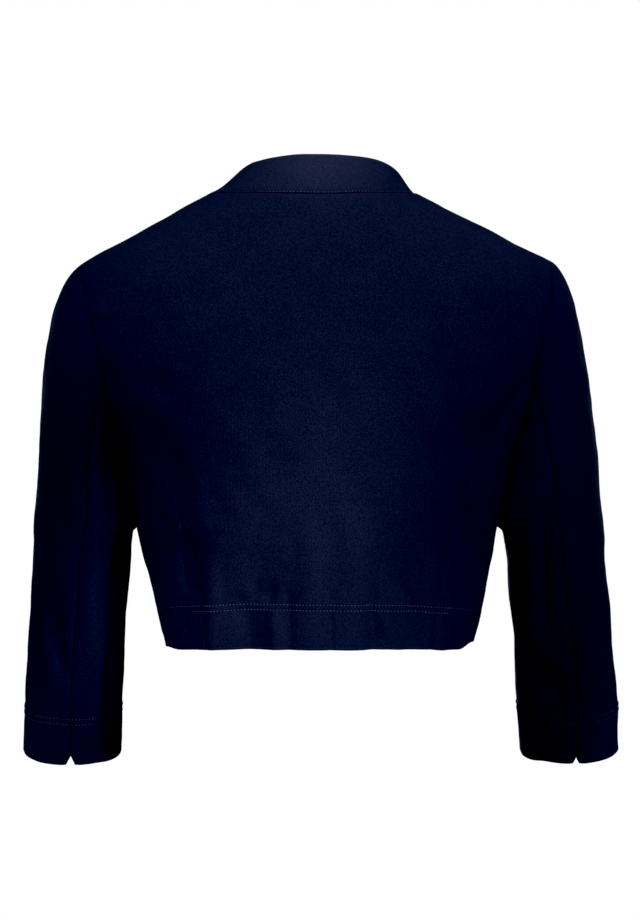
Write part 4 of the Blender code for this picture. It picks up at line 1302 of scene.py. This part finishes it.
def sewn_row_tree():
    """Geometry nodes that set a stitch at even steps along a row."""
    tree = bpy.data.node_groups.new("sewn_row", "GeometryNodeTree")
    face = tree.interface
    face.new_socket("Row", in_out="INPUT", socket_type="NodeSocketGeometry")
    for name in ("Pitch", "Length", "Width"):
        face.new_socket(name, in_out="INPUT", socket_type="NodeSocketFloat")
    face.new_socket("Thread", in_out="INPUT", socket_type="NodeSocketMaterial")
    face.new_socket("Stitches", in_out="OUTPUT", socket_type="NodeSocketGeometry")
    add = Tree(tree).node
    start = add("NodeGroupInput").outputs
    path = add("GeometryNodeMeshToCurve", None, {"Mesh": start["Row"]})
    path = add("GeometryNodeResampleCurve", {"mode": "LENGTH"},
               {"Curve": path.outputs[0], "Length": start["Pitch"]})
    way = add("GeometryNodeInputTangent")
    along = add("FunctionNodeAlignRotationToVector", {"axis": "X"}, {"Vector": way.outputs[0]})
    outward = add("GeometryNodeInputNamedAttribute", {"data_type": "FLOAT_VECTOR"}, {"Name": "outward"})
    turn = add("FunctionNodeAlignRotationToVector", {"axis": "Z", "pivot_axis": "X"},
               {"Rotation": along.outputs[0], "Vector": outward.outputs[0]})
    bead = add("GeometryNodeMeshUVSphere", None, {"Segments": 6, "Rings": 5, "Radius": 0.5})
    laid = add("GeometryNodeTransform", None,
               {"Geometry": bead.outputs[0], "Rotation": (0.0, math.pi / 2.0, 0.0)})
    size = add("ShaderNodeCombineXYZ", None,
               {"X": start["Length"], "Y": start["Width"], "Z": start["Width"]})
    laid = add("GeometryNodeTransform", None, {"Geometry": laid.outputs[0], "Scale": size.outputs[0]})
    uneven = add("FunctionNodeRandomValue", {"data_type": "FLOAT"},
                 {"Min": STITCH_LEAST, "Max": STITCH_MOST, "Seed": STITCH_SEED})
    spots = add("GeometryNodeInstanceOnPoints", None, {
        "Points": path.outputs[0], "Instance": laid.outputs[0], "Rotation": turn.outputs[0],
        "Scale": uneven.outputs[1]})
    whole = add("GeometryNodeRealizeInstances", None, {"Geometry": spots.outputs[0]})
    whole = add("GeometryNodeSetMaterial", None,
                {"Geometry": whole.outputs[0], "Material": start["Thread"]})
    add("NodeGroupOutput", None, {"Stitches": whole.outputs[0]})
    return tree


def sewn_rows(name, rows):
    """Stitches along rows of points, each row with the outward way at its points."""
    points = np.concatenate([place for place, _ in rows])
    outward = np.concatenate([way for _, way in rows])
    edges = []
    start = 0
    for place, _ in rows:
        edges += [(start + i, start + i + 1) for i in range(len(place) - 1)]
        start += len(place)
    mesh = bpy.data.meshes.new(name + "_path")
    mesh.from_pydata(points.tolist(), edges, [])
    ways = mesh.attributes.new("outward", "FLOAT_VECTOR", "POINT")
    ways.data.foreach_set("vector", outward.astype(np.float32).ravel())
    guide = placed(name + "_path", mesh)
    tree = bpy.data.node_groups.get("sewn_row") or sewn_row_tree()
    thread = finish_named("sewing_thread", thread_finish)
    sewing = guide.modifiers.new("sewing", "NODES")
    sewing.node_group = tree
    wanted = {
        "Pitch": sizes().stitch_pitch,
        "Length": sizes().stitch_length,
        "Width": sizes().thread,
        "Thread": thread,
    }
    for item in tree.interface.items_tree:
        if item.in_out == "INPUT" and item.name in wanted:
            sewing[item.identifier] = wanted[item.name]
    ready = guide.evaluated_get(bpy.context.evaluated_depsgraph_get())
    stitches = bpy.data.meshes.new_from_object(ready)
    bpy.data.objects.remove(guide)
    stitches.shade_smooth()
    piece = placed(name, stitches)
    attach(piece, "root")
    return piece


def thread_row(points, normals, swell, drawn):
    """Row of thread over the cloth, deeper where it is drawn in, and the outward way at its points."""
    lift = swell + THREAD_LIFT - THREAD_DRAWN * drawn
    return points + normals * lift[:, None], normals


def band_row(cloth, drawn):
    """Row of thread on a band, sunk as deep as the seam beside it is drawn in."""
    points, normals = cloth
    return thread_row(points[:, 1], normals[:, 1], -drawn_in(NECK_ROW), drawn)


class JACKET_OT_sewing(bpy.types.Operator):
    """Sew the rows at the hem, the cuffs, the neck and the fronts."""

    bl_idname = "jacket.sewing"
    bl_label = "Sewing"

    def execute(self, context):
        drops = (0.0, sizes().twin_gap)
        end = math.pi - float(turn_at(HEM_Z, FRONT_SEAM_AT(HEM_Z))) - ROW_CLEAR
        turn = np.linspace(-end, end, HEM_POINTS)
        drawn = rise(np.abs(np.sin(turn)), *HEM_DRAWN)
        rows = []
        for drop in drops:
            cloth = body_cloth(hem_z(turn) + hem_row(turn) - drop, turn)
            rows.append(thread_row(*cloth, HEM_SWELL, drawn))
        sewn_rows("sewing_hem", rows)
        degrees = np.linspace(-180.0, 180.0, CUFF_POINTS)
        drawn = rise(degrees, *CUFF_DRAWN)
        rows = []
        for side in SIDES:
            for drop in drops:
                level = np.full(degrees.shape, 2.0 - (CUFF_ROW - drop) / SLEEVE_CLOTH)
                rows.append(thread_row(*sleeve_cloth(side, degrees, level), HEM_SWELL, drawn))
        sewn_rows("sewing_cuffs", rows)
        share = np.array([0.0, NECK_SHARE, 2.0 * NECK_SHARE])
        end = math.pi / 2.0 - ROW_CLEAR
        turn = np.linspace(-end, end, NECK_POINTS)
        drawn = NECK_LEAST + (1.0 - NECK_LEAST) * rise(np.abs(np.sin(turn)), *NECK_DRAWN)
        sewn_rows("sewing_neck", [band_row(collar_cloth(turn, share), drawn)])
        z = np.linspace(NECK_LIFT - FRONT_ROW_TOP, HEM_Z + FRONT_ROW_END, FRONT_POINTS)
        plain = np.zeros(z.shape)
        rows = [band_row(front_band_cloth(side, z, share), plain) for side in SIDES]
        sewn_rows("sewing_fronts", rows)
        return {"FINISHED"}


# Soft lights: place, point they face, width, spread in degrees and power
Lamp = namedtuple("Lamp", "name x y z aim_x aim_y aim_z width spread power")
LAMPS = table(Lamp, [
    ("top_light", -0.10, 0.50, 1.70, 0.000, 0.05, -0.100, 0.40, 26.0, 0.205),
    ("collar_light", -0.10, 1.60, 1.20, -0.003, 0.05, 0.046, 0.05, 3.0, 0.0078),
    ("neck_light", -0.10, 1.60, 1.20, -0.003, 0.05, 0.025, 0.10, 3.5, 0.0090),
    ("left_top", 0.90, 1.80, 1.20, 0.080, 0.05, -0.080, 0.30, 11.0, 0.156),
    ("right_top", -1.50, 1.20, 1.20, -0.100, 0.03, -0.080, 0.30, 10.0, 0.126),
    ("back_key", -0.20, 2.60, -0.10, -0.005, 0.00, -0.280, 0.25, 9.0, 0.048),
    ("side_key", -1.50, 1.20, 1.20, 0.190, 0.00, -0.360, 0.15, 6.0, 0.018),
    ("low_light", -0.40, 2.30, -0.95, -0.015, 0.00, -0.370, 0.15, 5.0, 0.031),
    ("low_wide", -0.20, 2.40, -0.90, 0.000, 0.00, -0.370, 0.25, 8.0, 0.014),
    ("left_hem", 0.70, 2.30, -0.60, 0.105, 0.03, -0.365, 0.10, 3.0, 0.0058),
    ("right_hem", -0.70, 2.30, -0.60, -0.115, 0.03, -0.365, 0.10, 3.0, 0.0042),
    ("left_rim", 2.40, 0.50, -0.10, 0.240, 0.00, -0.320, 0.50, 22.0, 0.068),
    ("right_rim", -2.40, 0.10, -0.10, -0.240, 0.00, -0.320, 0.50, 22.0, 0.068),
    ("left_sleeve", 0.30, 2.60, -0.60, 0.195, 0.00, -0.380, 0.20, 6.0, 0.026),
    ("left_strip", -1.60, 1.70, 1.00, 0.188, -0.03, -0.400, 0.12, 5.0, 0.044),
    ("right_sleeve", -1.60, 2.00, -0.30, -0.235, 0.00, -0.340, 0.20, 7.0, 0.020),
    ("right_arm", -0.20, 2.50, 0.60, -0.183, 0.02, -0.215, 0.08, 2.5, 0.0044),
    ("left_cuff", 2.20, 0.60, -1.00, 0.250, -0.06, -0.470, 0.12, 4.5, 0.0130),
    ("right_cuff", -2.20, 0.60, -1.00, -0.250, -0.06, -0.470, 0.12, 4.5, 0.0150),
    ("front_fill", 0.30, -3.20, -0.10, 0.000, 0.00, -0.220, 1.20, 40.0, 2.6),
    ("left_fill", 1.60, -2.90, 0.10, 0.200, 0.00, -0.240, 0.16, 9.0, 0.032),
    ("right_fill", -1.60, -2.90, 0.10, -0.200, 0.00, -0.240, 0.16, 9.0, 0.032),
])
BLACK_LEVEL = (0.0107, 0.0088, 0.0060)  # darkest tone of the picture
CAMERA_DISTANCE = 4.0
CAMERA_X = -0.00168
CAMERA_Z = -0.2209
VIEW_HEIGHT = 0.7728  # height of the picture at the middle of the jacket
FLOOR_Z = -1.05
FLOOR_RADIUS = 1.9
FLOOR_SIDES = 96
SENSOR = 36.0  # width of the camera's sensor in millimetres
AMBIENT = 0.130  # strength of the even light
AMBIENT_TINT = (0.86, 0.92, 1.0, 1.0)
WHITE = (1.0, 1.0, 1.0, 1.0)


def aim(thing, target):
    """Turn a lamp or camera towards a point."""
    way = np.subtract(target, thing.location)
    flat = math.hypot(way[0], way[1])
    thing.rotation_euler = (math.atan2(flat, -way[2]), 0.0, math.atan2(-way[0], way[1]))


class JACKET_OT_stage(bpy.types.Operator):
    """Set the floor, the white surround, the soft lights and the camera."""

    bl_idname = "jacket.stage"
    bl_label = "Stage, light and camera"

    def execute(self, context):
        scene = context.scene
        angles = np.linspace(0.0, 2.0 * math.pi, FLOOR_SIDES + 1)[:-1]
        rim = [(FLOOR_RADIUS * math.cos(a), FLOOR_RADIUS * math.sin(a), FLOOR_Z) for a in angles]
        mesh = bpy.data.meshes.new("floor")
        mesh.from_pydata(rim, [], [list(range(len(rim)))])
        mesh.materials.append(floor_finish())
        floor = placed("floor", mesh)
        for lamp in LAMPS:
            data = bpy.data.lights.new(lamp.name, "AREA")
            data.shape = "DISK"
            data.size = lamp.width
            data.spread = math.radians(lamp.spread)
            data.energy = lamp.power
            light = placed(lamp.name, data)
            light.location = (lamp.x, lamp.y, lamp.z)
            aim(light, (lamp.aim_x, lamp.aim_y, lamp.aim_z))
        self.surround(scene)
        data = bpy.data.cameras.new("camera")
        data.sensor_width = SENSOR
        data.lens = SENSOR * CAMERA_DISTANCE / VIEW_HEIGHT
        camera = placed("camera", data)
        camera.location = (CAMERA_X, CAMERA_DISTANCE, CAMERA_Z)
        camera.rotation_euler = (math.pi / 2.0, 0.0, math.pi)
        scene.camera = camera
        scene.view_settings.view_transform = "Standard"
        scene.view_settings.use_curve_mapping = True
        scene.view_settings.curve_mapping.black_level = BLACK_LEVEL
        scene.view_settings.curve_mapping.update()
        return {"FINISHED"}

    def surround(self, scene):
        """White to the camera, and a weak even light on the cloth."""
        world = bpy.data.worlds.new("studio")
        world.use_nodes = True
        add = Tree(world.node_tree).node
        weak = add("ShaderNodeBackground", None, {"Color": AMBIENT_TINT, "Strength": AMBIENT})
        white = add("ShaderNodeBackground", None, {"Color": WHITE})
        seen = add("ShaderNodeLightPath").outputs["Is Camera Ray"]
        mixed = add("ShaderNodeMixShader", None, {0: seen, 1: weak.outputs[0], 2: white.outputs[0]})
        add("ShaderNodeOutputWorld", None, {"Surface": mixed.outputs[0]})
        scene.world = world


class JACKET_PT_sidebar(bpy.types.Panel):
    """Sizes, colours and building steps of the jacket."""

    bl_label = "Sweat Jacket"
    bl_space_type = "VIEW_3D"
    bl_region_type = "UI"
    bl_category = "Jacket"

    def draw(self, context):
        for group in (context.scene.jacket_sizes, context.scene.jacket_colours):
            for name in group.bl_rna.properties.keys():
                if name not in ("rna_type", "name"):
                    self.layout.prop(group, name)
        for step in STEPS:
            self.layout.operator(step.bl_idname)


STEPS = [
    JACKET_OT_back, JACKET_OT_fronts, JACKET_OT_bands,
    JACKET_OT_sleeves, JACKET_OT_sewing, JACKET_OT_stage,
]
GROUPS = {"jacket_sizes": JacketSizes, "jacket_colours": JacketColours}


def register():
    """Make the properties, operators and panel known."""
    for name, group in GROUPS.items():
        bpy.utils.register_class(group)
        setattr(bpy.types.Scene, name, bpy.props.PointerProperty(type=group))
    for made in STEPS + [JACKET_PT_sidebar]:
        bpy.utils.register_class(made)


def unregister():
    """Take the properties, operators and panel away again."""
    for made in [JACKET_PT_sidebar] + STEPS[::-1]:
        bpy.utils.unregister_class(made)
    for name, group in GROUPS.items():
        delattr(bpy.types.Scene, name)
        bpy.utils.unregister_class(group)


def main():
    """Build the jacket and its stage."""
    register()
    bpy.ops.jacket.back()
    bpy.ops.jacket.fronts()
    bpy.ops.jacket.bands()
    bpy.ops.jacket.sleeves()
    bpy.ops.jacket.sewing()
    bpy.ops.jacket.stage()


if __name__ == "__main__":
    main()
